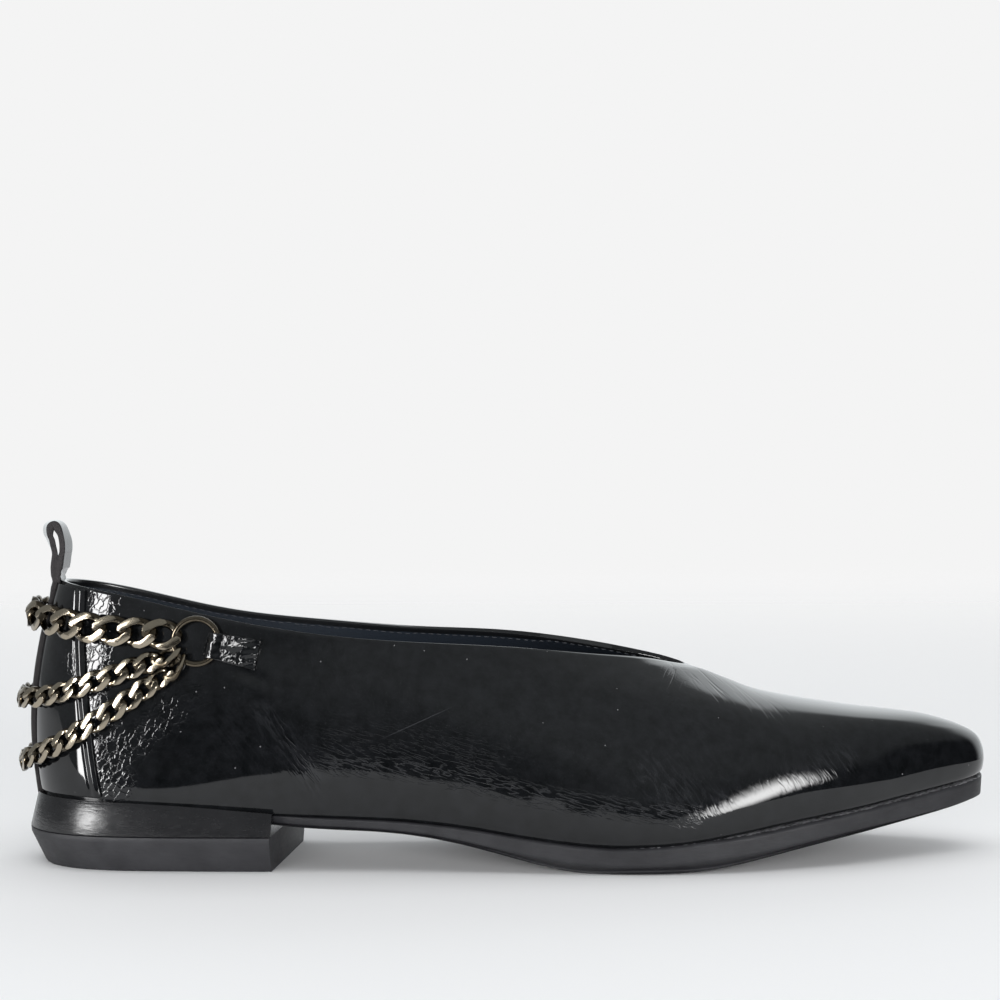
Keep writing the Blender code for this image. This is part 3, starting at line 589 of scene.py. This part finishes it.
def subdivide(piece, levels, crease, sharpness=math.radians(50.0), passes=0):
    """Rounds a copy between its creased sharp edges, its skin brought back to the copy's own corner points off them."""
    work_on(piece)
    bpy.ops.object.mode_set(mode="EDIT")
    bpy.ops.mesh.select_mode(type="EDGE")
    bpy.ops.mesh.select_all(action="DESELECT")
    bpy.ops.mesh.edges_select_sharp(sharpness=sharpness)
    bpy.ops.transform.edge_crease(value=crease)
    bpy.ops.object.mode_set(mode="OBJECT")
    bpy.ops.object.modifier_add(type="SUBSURF")
    rounding = piece.modifiers[-1]
    rounding.levels = levels
    rounding.render_levels = levels
    corners, _ = points_of(piece)
    free = np.ones(len(corners), bool)
    free[[v for edge in piece.data.edges if edge.select for v in edge.vertices]] = False
    held = corners.copy()
    for _ in range(passes):
        round_skin = piece.evaluated_get(bpy.context.evaluated_depsgraph_get()).data.vertices
        reached = np.array([round_skin[i].co for i in range(len(corners))]) / MM
        held[free] += (corners - reached)[free]
        move_points(piece, held)
    bpy.ops.object.modifier_apply(modifier=rounding.name)
    bpy.ops.object.shade_smooth()


def soften_edges(piece, width, sharpness=math.radians(35.0)):
    """Breaks the sharp edges of a hard piece with a small round, and shades it smooth between them."""
    work_on(piece)
    bpy.ops.object.modifier_add(type="BEVEL")
    edge = piece.modifiers[-1]
    edge.width = width * MM
    edge.segments = 2
    edge.limit_method = "ANGLE"
    edge.angle_limit = sharpness
    edge.harden_normals = False
    bpy.ops.object.modifier_apply(modifier=edge.name)
    bpy.ops.object.shade_smooth_by_angle(angle=sharpness)


def finish(piece, slot, nodes, *materials):
    """Gives a piece its materials, hangs it on the root body and hides the CAD nodes that it stands for."""
    for material in materials:
        piece.data.materials.append(material)
    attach(piece, "root")
    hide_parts(*nodes)


def points_of(piece):
    """A piece's vertices in millimetres and its vertex normals."""
    count = len(piece.data.vertices)
    spots = np.empty(count * 3)
    normals = np.empty(count * 3)
    piece.data.vertices.foreach_get("co", spots)
    piece.data.vertices.foreach_get("normal", normals)
    return spots.reshape(-1, 3) / MM, normals.reshape(-1, 3)


def move_points(piece, spots):
    piece.data.vertices.foreach_set("co", (spots * MM).ravel())
    piece.data.update()


def paint(piece, name, values):
    """A value at every vertex, for the material to read."""
    layer = piece.data.attributes.new(name, "FLOAT", "POINT")
    layer.data.foreach_set("value", np.asarray(values, np.float32))


def rise(values, start, end):
    """Nothing before the start, one past the end, and an even rise between."""
    return np.clip((values - start) / (end - start), 0.0, 1.0)


def bell(values, middle, spread):
    """A soft swell round a middle value, with its standard spread."""
    return np.exp(-0.5 * ((values - middle) / spread) ** 2)


def ridge(values, middle, width):
    """A narrow ridge round a middle value."""
    return np.exp(-(((values - middle) / width) ** 2))


def outer_skin(spots, normals):
    """True where a vertex of the upper looks out of the shoe, and false on its lining."""
    x = np.clip(spots[:, 0], HOLLOW_X[0], HOLLOW_X[-1])
    hollow = np.stack([x, np.interp(x, HOLLOW_X, HOLLOW_Y), np.interp(x, HOLLOW_X, HOLLOW_Z)], axis=1)
    return ((spots - hollow) * normals).sum(axis=1) > 0


def stroke_distance(spots, x0, z0, x1, z1):
    """Distance of each vertex from a straight stroke in side view, and how far along it lies."""
    run = np.array([x1 - x0, z1 - z0])
    away = spots[:, [0, 2]] - np.array([x0, z0])
    share = np.clip(away @ run / max(run @ run, 1e-6), 0.0, 1.0)
    return np.linalg.norm(away - share[:, None] * run, axis=1), share


def stroke_mask(spots, strokes, sides):
    """Soft strokes of a brush on the chosen side of the shoe."""
    mask = np.zeros(len(spots))
    outside, inside = STROKE_SOFTNESS
    for stroke in strokes:
        away, _ = stroke_distance(spots, stroke.x0, stroke.z0, stroke.x1, stroke.z1)
        mask = np.maximum(mask, stroke.strength * rise(away / stroke.radius, outside, inside))
    return mask * sides


def crease_relief(spots):
    """How far the main creases press in or lift the lateral skin."""
    relief = np.zeros(len(spots))
    for crease in CREASES:
        first, along = stroke_distance(spots, crease.x0, crease.z0, crease.x1, crease.z1)
        second, after = stroke_distance(spots, crease.x1, crease.z1, crease.x2, crease.z2)
        away = np.minimum(first, second)
        share = np.where(first < second, along, 1 + after) / 2
        fade = np.sin(np.pi * np.clip(share, 0.02, 0.98)) ** 0.5
        trough = ridge(away, 0.0, crease.width)
        lip = ridge(away, 2.0 * crease.width, crease.width)
        relief += crease.depth * fade * (LIP * lip - trough)
    return relief


def soft_noise(spots, size, seed):
    """A slow, smooth unevenness from -1 to 1, with swells of about the given size."""
    shift = Vector((seed, seed * 1.7, seed * 0.6))
    return np.array([noise.noise(Vector(spot) / size + shift) for spot in spots])


def low_swell(spots):
    """How far the shoe's sides swell out low down."""
    stations = [swell.x for swell in SWELLS]
    fullest, out, spread = [np.interp(spots[:, 0], stations, row) for row in list(zip(*SWELLS))[1:]]
    return out * bell(spots[:, 2], fullest, spread)


def by_station(spots, pick):
    """The lowest or highest of a piece at the place of each of its vertices along the shoe."""
    stations = np.arange(spots[:, 0].min() + STATION_STEP / 2, spots[:, 0].max(), STATION_STEP)
    ends = [pick(spots[abs(spots[:, 0] - x) < STATION_REACH, 2]) for x in stations]
    return np.interp(spots[:, 0], stations, ends)


def smooth_some(piece, chosen, repeats):
    """Smooths the chosen vertices of a piece."""
    work_on(piece)
    bpy.ops.object.mode_set(mode="EDIT")
    bpy.ops.mesh.select_mode(type="VERT")
    bpy.ops.mesh.select_all(action="DESELECT")
    bpy.ops.object.mode_set(mode="OBJECT")
    piece.data.vertices.foreach_set("select", chosen)
    bpy.ops.object.mode_set(mode="EDIT")
    bpy.ops.mesh.vertices_smooth(factor=0.5, repeat=repeats)
    bpy.ops.object.mode_set(mode="OBJECT")


def below_collar(upper, outer):
    """How far each vertex lies from the collar's rim, where the skin turns into the lining."""
    spots, _ = points_of(upper)
    middle = np.interp(spots[:, 0], HOLLOW_X, HOLLOW_Z)
    rim = [edge.vertices[0] for edge in upper.data.edges if outer[edge.vertices[0]] != outer[edge.vertices[1]]]
    rim = [v for v in rim if spots[v, 2] > middle[v]]
    tree = KDTree(len(rim))
    for v in rim:
        tree.insert(spots[v], v)
    tree.balance()
    return np.array([tree.find(spot)[2] for spot in spots])


def along_rim(spots, drop, rim):
    """A stretch of the collar's rim, fading along it and below it."""
    return bell(spots[:, 0], rim.x, rim.spread) * np.exp(-drop / rim.drop)


def shaped_skin(spots, normals, outer, foot, drop):
    """The upper's points with its creases and swells, the vamp's shoulder, the flared collar and the parted throat."""
    x, z = spots[:, 0], spots[:, 2]
    medial = spots[:, 1] - np.interp(x, HOLLOW_X, HOLLOW_Y)
    lateral = outer * rise(medial, SIDES_MEET, -SIDES_MEET)
    relief = crease_relief(spots) * lateral
    relief += UNEVEN * soft_noise(spots, UNEVEN_SIZE, 3.0) * outer
    relief += low_swell(spots) * outer
    relief += TOE_FILL * rise(x, *TOE_FILL_X) * rise(z, *TOE_FILL_Z) * outer
    away, _ = stroke_distance(spots, SHOULDER.x0, SHOULDER.z0, SHOULDER.x1, SHOULDER.z1)
    shoulder = SHOULDER.strength * bell(away, 0.0, SHOULDER.radius)
    relief += shoulder * rise(drop, 0.0, SHOULDER_BELOW) * lateral
    flare = FLARE_OUT * along_rim(spots, drop, FLARE)
    tuck = TUCK_IN * rise(foot, FOOT_KEPT, 0.0) ** 2 * rise(x, *TUCK_X) * outer
    shaped = spots + normals * relief[:, None] + outward(spots) * (flare - tuck)[:, None]
    shaped[:, 2] -= np.interp(x, FEATHER_X, UPPER_DROP) * rise(foot, UPPER_FOOT, 0.0)
    shaped[:, 2] += np.interp(medial, THROAT_SIDES, THROAT_MOVED) * along_rim(spots, drop, THROAT)
    return shaped


def make_upper(patent, lining, thread):
    """The upper's skin with its creases, and the lining on its inner face below a stitched patent facing."""
    upper = take_copy("upper", "upper_skin")
    subdivide(upper, 3, 0.75, passes=4)
    spots, normals = points_of(upper)
    outer = outer_skin(spots, normals)
    foot = spots[:, 2] - by_station(spots, np.min)
    smooth_some(upper, outer & (spots[:, 0] > TOE_CAST_X) & (foot > FOOT_KEPT), TOE_CAST_REPEATS)
    spots, normals = points_of(upper)
    drop = below_collar(upper, outer)
    move_points(upper, shaped_skin(spots, normals, outer, foot, drop))
    smooth_some(upper, outer & (spots[:, 0] > TOE_BLEND_X) & (foot > FOOT_KEPT), TOE_BLEND_REPEATS)
    for mark, strokes in PATENT_MARKS.items():
        paint(upper, mark, stroke_mask(spots, strokes, outer))
    paint(upper, "below_collar", drop)
    faces = [1 if not any(outer[v] for v in face.vertices) else 0 for face in upper.data.polygons]
    upper.data.polygons.foreach_set("material_index", faces)
    finish(upper, "black_patent_leather", ["upper"], patent, lining)
    sew_facing(upper, thread, ~outer & (abs(drop - STITCH_DROP) < STITCH_BAND))


def make_stitch():
    """One stitch at the origin: a short round of thread, drawn in at both ends."""
    bpy.ops.object.select_all(action="DESELECT")
    bpy.ops.mesh.primitive_uv_sphere_add(segments=8, ring_count=5, radius=0.5 * MM)
    stitch = bpy.context.object
    bpy.ops.object.mode_set(mode="EDIT")
    bpy.ops.mesh.select_all(action="SELECT")
    bpy.ops.transform.rotate(value=math.pi / 2, orient_axis="Y", center_override=(0.0, 0.0, 0.0))
    bpy.ops.transform.resize(value=(STITCH_LENGTH, STITCH_WIDTH, STITCH_WIDTH))
    bpy.ops.object.mode_set(mode="OBJECT")
    bpy.ops.object.shade_smooth()
    return stitch


def sew_facing(upper, thread, row):
    """A row of stitches round the inside of the collar, along a line of the upper's own lining."""
    spots, normals = points_of(upper)
    spots, normals = spots[row], normals[row]
    turn = np.arctan2(spots[:, 1] - MOUTH_Y, spots[:, 0] - MOUTH_X)
    line = []
    faces = []
    for step in np.arange(-math.pi, math.pi, MOUTH_STEP):
        apart = np.angle(np.exp(1j * (turn - step)))
        weight = ridge(apart, 0.0, MOUTH_WINDOW)
        if weight.sum() > 0.5:
            line.append((spots * weight[:, None]).sum(axis=0) / weight.sum())
            faces.append((normals * weight[:, None]).sum(axis=0) / weight.sum())
    lengths = np.cumsum([0.0] + [np.linalg.norm(b - a) for a, b in zip(line, line[1:])])
    line, faces = np.array(line), np.array(faces)
    stitch = make_stitch()
    copies = []
    for distance in np.arange(STITCH_PITCH, lengths[-1] - STITCH_PITCH, STITCH_PITCH):
        spot, before, after, face = [
            Vector([np.interp(distance + shift, lengths, rows[:, axis]) for axis in range(3)])
            for rows, shift in ((line, 0.0), (line, -STITCH_SIGHT), (line, STITCH_SIGHT), (faces, 0.0))
        ]
        ahead = (after - before).normalized()
        out = (face - ahead * face.dot(ahead)).normalized()
        copies.append(lay_copy(stitch, spot * MM, ahead, out))
    join_copies(stitch, copies, "facing_stitches")
    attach(bpy.context.object, "root")
    bpy.context.object.data.materials.append(thread)


def outward(spots):
    """Level directions away from the middle of the shoe."""
    x = np.clip(spots[:, 0], HOLLOW_X[0], HOLLOW_X[-1])
    away = spots[:, :2] - np.stack([x, np.interp(x, HOLLOW_X, HOLLOW_Y)], axis=1)
    away /= np.linalg.norm(away, axis=1)[:, None]
    return np.column_stack([away, np.zeros(len(spots))])


def behind_front(spots):
    """How far each vertex of the counter lies behind its front edge on its own side."""
    behind = np.empty(len(spots))
    medial = spots[:, 1] > HOLLOW_Y[0]
    for side in (medial, ~medial):
        levels = [side & (abs(spots[:, 2] - z) < STATION_REACH) for z in COUNTER_HEIGHTS]
        edges = np.array([spots[level, 0].max(initial=NO_EDGE) for level in levels])
        known = edges > NO_EDGE
        behind[side] = np.interp(spots[side, 2], COUNTER_HEIGHTS[known], edges[known]) - spots[side, 0]
    return behind


def make_counter(patent):
    """The counter with its front edge turned down on the upper, and a raised seam along it."""
    counter = take_copy("counter", "counter_panel")
    subdivide(counter, 4, 0.7, passes=2)
    spots, _ = points_of(counter)
    behind = behind_front(spots)
    turned = -TURNED_IN * rise(behind, TURNED_WIDTH, 0.0) ** 2
    welt = sum(row.out * ridge(behind, row.behind, row.width) for row in COUNTER_RIDGES)
    move_points(counter, spots + outward(spots) * (turned + welt + low_swell(spots))[:, None])
    paint(counter, "crackle", stroke_mask(spots, CRACKLE, rise(behind, *CRACKLE_BEHIND)))
    finish(counter, "black_patent_leather", ["counter"], patent)


def make_strap(patent, edge):
    """The pull strap, filled out to thick leather that lies on the counter, with its raw edges showing."""
    strap = take_copy("pull_strap", "pull_strap_leather")
    subdivide(strap, 3, 0.95, math.radians(75.0))
    spots, normals = points_of(strap)
    above = spots[:, 2] - spots[:, 2].max() + STRAP_RISE
    turn = np.interp(above, SLIT_HEIGHTS, SLIT_TURN) * (spots[:, 1] - STRAP_EDGE)
    behind = spots[:, 0] < np.interp(above, SLIT_HEIGHTS, SLIT_X) + turn
    low = rise(above, *JOG_HEIGHTS) * ~behind
    rear = np.interp(above, REAR_HEIGHTS, REAR_DRAWN)
    front = np.interp(above, FRONT_HEIGHTS, FRONT_DRAWN)
    front -= JOG_PULLED * np.clip(spots[:, 0] - JOG_X, 0.0, None) * low
    spots += normals * np.interp(above, SWELL_HEIGHTS, STRAND_SWELL)[:, None]
    spots[:, 0] += np.where(behind, rear, front)
    spots[:, 2] -= JOG_LOWERED * low
    spots[:, 2] -= STRAP_LONGER * rise(spots[:, 2] - spots[:, 2].min(), STRAP_FOOT, 0.0) * behind
    move_points(strap, spots)
    sides = [1 if abs(face.normal.y) > EDGE_FACING else 0 for face in strap.data.polygons]
    paint(strap, "crackle", np.full(len(spots), 0.15))
    finish(strap, "black_patent_leather", ["pull_strap"], patent, edge)
    strap.data.polygons.foreach_set("material_index", sides)


def make_tab(patent, node):
    """A ring tab: crumpled where it turns round the ring, and puckered by the seam at its wider end."""
    tab = take_copy(node, node + "_leather")
    subdivide(tab, 4, 0.75)
    spots, normals = points_of(tab)
    low, high = spots.min(axis=0), spots.max(axis=0)
    along = (spots[:, 0] - low[0]) / (high[0] - low[0])
    middle = (low[2] + high[2]) / 2
    spots[:, 2] = middle + (spots[:, 2] - middle) * np.interp(along, (0.0, 1.0), TAB_TAPER)
    puckers = np.sin(spots[:, 2] * PUCKERS + 2.5 * soft_noise(spots, 4.0, 2.0))
    relief = sum(row.depth * soft_noise(spots, row.size, row.seed) for row in CRUMPLES)
    relief += PUCKER_DEPTH * puckers * ridge(along, TAB_SEWN, SEWN_WIDTH)
    relief -= SEAM_DEPTH * sum(ridge(along, seam, SEAM_WIDTH) for seam in TAB_SEAMS)
    move_points(tab, spots + normals * relief[:, None])
    paint(tab, "crackle", np.full(len(spots), 0.3))
    finish(tab, "black_patent_leather", [node], patent)


def make_ring(metal, node):
    """A ring of round wire, from its node's coarse one, with the wire brought back to its full thickness."""
    ring = take_copy(node, node + "_wire")
    subdivide(ring, 2, 0.0, math.pi)
    bpy.ops.object.mode_set(mode="EDIT")
    bpy.ops.mesh.select_all(action="SELECT")
    bpy.ops.transform.shrink_fatten(value=RING_WIRE_GROWN)
    bpy.ops.object.mode_set(mode="OBJECT")
    # The ring's wire stays near the dark end of the plating, which is painted shade, with a little wear
    layer = ring.data.attributes.new("polish_and_painted_shade", "FLOAT", "FACE")
    layer.data.foreach_set("value", np.full(len(ring.data.polygons), RING_WEAR_AND_SHADE))
    finish(ring, "gunmetal", [node], metal)


def lay_copy(piece, spot, ahead, out):
    """A copy of a small piece with its own mesh, laid at a spot with its length ahead and its top facing out."""
    work_on(piece)
    bpy.ops.object.duplicate()
    copy = bpy.context.object
    copy.data = piece.data.copy()
    turned = Matrix((ahead, out.cross(ahead), out)).transposed().to_4x4()
    copy.data.transform(Matrix.Translation(spot) @ turned)
    return copy


def join_copies(piece, copies, name):
    """Joins laid copies into one named mesh, and clears away the piece that they were copied from."""
    bpy.data.objects.remove(piece)
    bpy.ops.object.select_all(action="DESELECT")
    for copy in copies:
        copy.select_set(True)
    bpy.context.view_layer.objects.active = copies[0]
    bpy.ops.object.join()
    bpy.context.object.name = name
    bpy.context.object.data.name = name


def make_link(chain):
    """One curb link at the origin: an oval of wire, twisted to lie flat, with its two high strands filed to facets."""
    half_width = (chain.width - chain.wire) / 2 * MM
    half_length = (chain.pitch + chain.wire * LINK_OVERLAP) / 2 * MM
    bpy.ops.object.select_all(action="DESELECT")
    bpy.ops.mesh.primitive_torus_add(
        major_segments=28, minor_segments=8, major_radius=half_width, minor_radius=chain.wire / 2 * MM
    )
    link = bpy.context.object
    bpy.ops.object.mode_set(mode="EDIT")
    bpy.ops.mesh.select_all(action="SELECT")
    bpy.ops.transform.resize(value=(half_length / half_width, 1.0, 1.0))
    bpy.ops.object.mode_set(mode="OBJECT")
    bpy.ops.object.modifier_add(type="SIMPLE_DEFORM")
    twist = link.modifiers[-1]
    twist.deform_method = "TWIST"
    twist.deform_axis = "X"
    twist.angle = LINK_TWIST
    bpy.ops.object.modifier_apply(modifier=twist.name)
    bpy.ops.object.mode_set(mode="EDIT")
    for lean in (-FACET_LEAN, FACET_LEAN):
        bpy.ops.mesh.select_all(action="SELECT")
        bpy.ops.mesh.bisect(
            plane_co=(0.0, -math.copysign(half_width, lean), chain.wire * FACET_HEIGHT * MM),
            plane_no=(0.0, -math.sin(lean), math.cos(lean)),
            use_fill=True,
            clear_outer=True,
        )
    bpy.ops.object.mode_set(mode="OBJECT")
    soften_edges(link, 0.06)
    # Filed facets are drawn worn pale; every other face stays dark, as painted shade between the links
    filed = [face.normal.z > FACET_LEVEL and face.center.z > 0.0 for face in link.data.polygons]
    layer = link.data.attributes.new("polish_and_painted_shade", "FLOAT", "FACE")
    layer.data.foreach_set("value", np.where(filed, FACET_RUBBED, 0.0))
    return link


def chain_line(chain):
    """Points and outward directions along a chain from ring to ring, measured from its node round the heel."""
    mesh = NODES[chain.node].data
    spots = np.array([vertex.co for vertex in mesh.vertices])
    turn = np.arctan2(spots[:, 1] - HEEL_TURN.y, HEEL_TURN.x - spots[:, 0])
    middle = []
    for step in np.linspace(turn.min() + LINE_INSET, turn.max() - LINE_INSET, LINE_STEPS):
        weight = ridge(turn, step, LINE_WINDOW)
        spot = Vector((spots * weight[:, None]).sum(axis=0) / weight.sum())
        spot.z += np.interp(spot.x / MM, CHAIN_REACH, (-chain.back_drop, chain.ring_lift)) * MM
        middle.append(spot)
    hooks = []
    for ring, end in (("ring_lateral", middle[0]), ("ring_medial", middle[-1])):
        low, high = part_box(ring)
        centre = (low + high) / 2
        hooks.append(centre + (end - centre).normalized() * RING_RADIUS)
    middle = [hooks[0], *middle, hooks[1]]
    wall = NODES["upper"].data
    skin = BVHTree.FromPolygons([v.co for v in wall.vertices], [list(face.vertices) for face in wall.polygons])
    outs = []
    for spot in middle:
        nearest = skin.find_nearest(spot)[0]
        outs.append((spot - nearest).normalized())
    return middle, outs


def make_chain(metal, chain):
    """A chain of copies of one link, laid along the line of its node and hooked on both rings."""
    link = make_link(chain)
    middle, outs = chain_line(chain)
    lengths = np.cumsum([0.0] + [(b - a).length for a, b in zip(middle, middle[1:])])
    start = (chain.pitch / 2 - chain.wire * HOOK_OVERLAP) * MM
    count = round((lengths[-1] - 2 * start) / (chain.pitch * MM))
    along = [start + (lengths[-1] - 2 * start) * i / count for i in range(count + 1)]

    def at(rows, distance):
        return Vector([np.interp(distance, lengths, [row[axis] for row in rows]) for axis in range(3)])

    copies = []
    for i, distance in enumerate(along):
        ahead = (at(middle, distance + LINK_SIGHT) - at(middle, distance - LINK_SIGHT)).normalized()
        out = at(outs, distance)
        out = (out - ahead * out.dot(ahead)).normalized()
        links_in = min(i, count - i)
        turn = chain.roll * max(0.0, 1 - links_in / ROLLED_LINKS) * (1 if i < count / 2 else -1)
        play = LINK_PLAY * noise.noise(Vector((i * 3.7, chain.pitch, 0.5)))
        out = Matrix.Rotation(turn + play, 3, ahead) @ out
        copies.append(lay_copy(link, at(middle, distance), ahead, out))
    join_copies(link, copies, chain.node + "_links")
    finish(bpy.context.object, "gunmetal", [chain.node], metal)


def make_outsole(rubber):
    """The outsole, lowered along its feather edge and thinner toward the toe, with a chafed rim."""
    outsole = take_copy("outsole", "outsole_rubber")
    subdivide(outsole, 3, 0.85, math.radians(35.0), passes=2)
    spots, _ = points_of(outsole)
    top, bottom = by_station(spots, np.max), by_station(spots, np.min)
    share = rise(spots[:, 2], bottom, top)
    paint(outsole, "worn", rise(top - spots[:, 2], *RIM_WORN) * rise(spots[:, 0], *RIM_WORN_X))
    spots[:, 2] -= np.interp(spots[:, 0], FEATHER_X, FEATHER_DROP) * share
    spots[:, 2] += np.interp(spots[:, 0], FEATHER_X, SOLE_THINNED) * (1 - share)
    move_points(outsole, spots)
    finish(outsole, "black_rubber", ["outsole"], rubber)


def make_heel(satin, lift_rubber):
    """The heel block, raised to meet the upper and drawn forward at its breast, and the lift under it."""
    block = take_copy("heel_block", "heel_block_rubber")
    spots, _ = points_of(block)
    x, z = spots[:, 0].copy(), spots[:, 2].copy()
    spots[:, 2] += np.interp(x, BLOCK_X, BLOCK_RAISED) * rise(z, *BLOCK_TOP) - JOINT_CLOSED * rise(z, *BLOCK_FOOT)
    spots[:, 0] += BREAST_FORWARD * rise(x, *BREAST_X)
    move_points(block, spots)
    soften_edges(block, 0.3)
    finish(block, "satin_black_rubber", ["heel_block"], satin)
    lift = take_copy("heel_lift", "heel_lift_rubber")
    soften_edges(lift, 0.25)
    finish(lift, "black_rubber", ["heel_lift"], lift_rubber)


def make_insole(lining):
    """The sock, in the lining's leather and far below its patent strip."""
    insole = take_copy("insole", "insole_sock")
    subdivide(insole, 2, 1.0)
    paint(insole, "below_collar", np.full(len(insole.data.vertices), DEEP_INSIDE))
    finish(insole, "navy_lining_leather", ["insole"], lining)


def hang_softbox(softbox):
    """A soft light that aims at the shoe, its glow dying toward the edges of its cloth."""
    bpy.ops.object.light_add(type="AREA", location=softbox.spot)
    box = bpy.context.object
    box.name = softbox.name
    box.data.shape = "RECTANGLE"
    box.data.size = softbox.width
    box.data.size_y = softbox.height
    box.data.energy = softbox.power
    aim = (Vector(softbox.target) - Vector(softbox.spot)).to_track_quat("-Z", "Y").to_matrix()
    box.rotation_euler = (aim @ Matrix.Rotation(math.radians(softbox.tilt), 3, "Z")).to_euler()
    for rays in softbox.hidden_from:
        setattr(box, "visible_" + rays, False)
    if softbox.fading:
        box.data.use_nodes = True
        fade_cloth(box.data.node_tree, softbox.fading)


def fade_cloth(tree, fading):
    """A glow that is even in the middle of a light and dies toward its four edges."""
    add = partial(add_node, tree)
    cloth = add("NewGeometry").outputs["Parametric"]
    split = add("SeparateXYZ", links={0: cloth})
    glow = None
    for axis in ("X", "Y"):
        inside = add("Math", {1: 0.5}, {0: split.outputs[axis]}, operation="SUBTRACT")
        away = add("Math", links={0: inside}, operation="ABSOLUTE")
        fade = add("MapRange", {1: 0.5 - fading, 2: 0.5, 3: 1.0, 4: 0.0}, {0: away}, interpolation_type="SMOOTHSTEP")
        if glow:
            fade = add("Math", links={0: glow, 1: fade}, operation="MULTIPLY")
        glow = fade
    feed(tree.nodes["Emission"], {"Strength": glow})


def lay_table():
    """A white table that ends a hand's breadth before the shoe and fades into the backdrop behind it."""
    bpy.ops.object.select_all(action="DESELECT")
    bpy.ops.mesh.primitive_plane_add(size=1.0)
    floor = bpy.context.object
    floor.name = "studio_table"
    bpy.ops.object.mode_set(mode="EDIT")
    bpy.ops.transform.resize(value=(TABLE_WIDTH, TABLE_DEPTH, 1.0))
    bpy.ops.transform.translate(value=(0.0, TABLE_DEPTH / 2 + TABLE_FRONT, 0.0))
    bpy.ops.mesh.subdivide(number_cuts=3)
    bpy.ops.object.mode_set(mode="OBJECT")
    for corner in floor.data.vertices:
        corner.co.x = min(corner.co.x, TABLE_RIGHT + TABLE_FLARE * (corner.co.y - TABLE_FRONT))
    paper, add, shader = new_material(
        "studio_paper", base_color=linear("#ececed"), roughness=0.95, specular_ior_level=0.1
    )
    place = add("TexCoord").outputs["Object"]
    deep = add("SeparateXYZ", links={0: place})
    near, far = TABLE_FADE
    fade = add("MapRange", {1: near, 2: far, 3: 1.0, 4: 0.0}, {0: deep.outputs["Y"]}, interpolation_type="SMOOTHSTEP")
    feed(shader, {"Alpha": fade})
    floor.data.materials.append(paper)


def light_room():
    """The room that the patent mirrors: a white backdrop behind the shoe, and a dim room on the camera's side."""
    world = bpy.data.worlds.new("studio_room")
    bpy.context.scene.world = world
    world.use_nodes = True
    world.node_tree.nodes.clear()
    add = partial(add_node, world.node_tree)
    way = add("TexCoord").outputs["Generated"]
    split = add("SeparateXYZ", links={0: way})

    # The dim side: darkest along the skirting, which climbs to the right, and darker again in the right corner
    skirting = add("Math", {1: -0.2}, {0: split.outputs["X"], 2: split.outputs["Z"]}, operation="MULTIPLY_ADD")
    corner = add("MapRange", {1: 0.5, 2: 0.95}, {0: split.outputs["X"]}, interpolation_type="SMOOTHSTEP")
    skirting = add("Math", {1: -0.12}, {0: corner, 2: skirting}, operation="MULTIPLY_ADD")
    wall = add("MapRange", {1: -0.05, 2: 0.23, 3: 0.02, 4: 0.29}, {0: skirting}, interpolation_type="SMOOTHSTEP")
    ceiling = add("MapRange", {1: 0.05, 2: 0.7, 3: 0.0, 4: 0.05}, {0: split.outputs["Z"]})
    dim = add("Math", links={0: wall, 1: ceiling}, operation="ADD")
    lit = add("MapRange", {3: 1.0, 4: 0.6}, {0: corner})
    dim = add("Math", links={0: dim, 1: lit}, operation="MULTIPLY")

    # The backdrop: behind the shoe, up to its top edge, and not round to the far left
    backdrop = None
    for axis, (start, end, before, past) in (
        ("Y", (0.3, 0.62, 0.0, 1.0)),
        ("Z", (0.54, 0.68, 1.0, 0.0)),
        ("X", (-0.75, -0.3, 0.0, 1.0)),
    ):
        within = add(
            "MapRange",
            {1: start, 2: end, 3: before, 4: past},
            {0: split.outputs[axis]},
            interpolation_type="SMOOTHSTEP",
        )
        if backdrop:
            within = add("Math", links={0: backdrop, 1: within}, operation="MULTIPLY")
        backdrop = within
    light = add("Math", links={0: backdrop, 1: dim}, operation="ADD")

    surroundings = add("Background", {"Color": linear("#f8fdff")}, {"Strength": light})
    paper_wall = add("Background", {"Color": linear("#f4f4f4")})
    rays = add("LightPath")
    seen = add("MixShader", links={0: rays.outputs["Is Camera Ray"], 1: surroundings, 2: paper_wall})
    add("OutputWorld", links={"Surface": seen})


def add_camera():
    """A camera at the photograph's angle, level from side to side."""
    bpy.ops.object.camera_add()
    camera = bpy.context.object
    camera.name = "side_view"
    camera.data.lens = SENSOR_WIDTH * FOCAL_PIXELS / PICTURE_WIDTH
    camera.data.sensor_width = SENSOR_WIDTH
    camera.data.clip_start = 0.01
    back = Vector((-math.sin(CAMERA_TURN), -math.cos(CAMERA_TURN), 0.0)) * CAMERA_DISTANCE
    camera.location = AIM + back + Vector((0.0, 0.0, CAMERA_HEIGHT))
    pitch = math.atan(HORIZON_PIXELS / FOCAL_PIXELS)
    camera.rotation_euler = (math.pi / 2 - pitch, 0.0, -CAMERA_TURN)
    bpy.context.scene.camera = camera


patent = patent_leather()
lining = lining_leather()
metal = gunmetal()
make_upper(patent, lining, waxed_thread())
make_counter(patent)
make_strap(patent, raw_edge())
for node in ("ring_tab_lateral", "ring_tab_medial"):
    make_tab(patent, node)
for node in ("ring_lateral", "ring_medial"):
    make_ring(metal, node)
for chain in CHAINS:
    make_chain(metal, chain)
make_outsole(cut_rubber("ground_rubber", "#151518", "#222225", 0.55))
make_heel(
    cut_rubber("satin_rubber", "#0e0e10", "#151517", 0.23),
    cut_rubber("lift_rubber", "#1d1d20", "#2a2a2d", 0.6),
)
make_insole(lining)
lay_table()
light_room()
for softbox in SOFTBOXES:
    hang_softbox(softbox)
add_camera()
bpy.context.scene.view_settings.view_transform = "Standard"
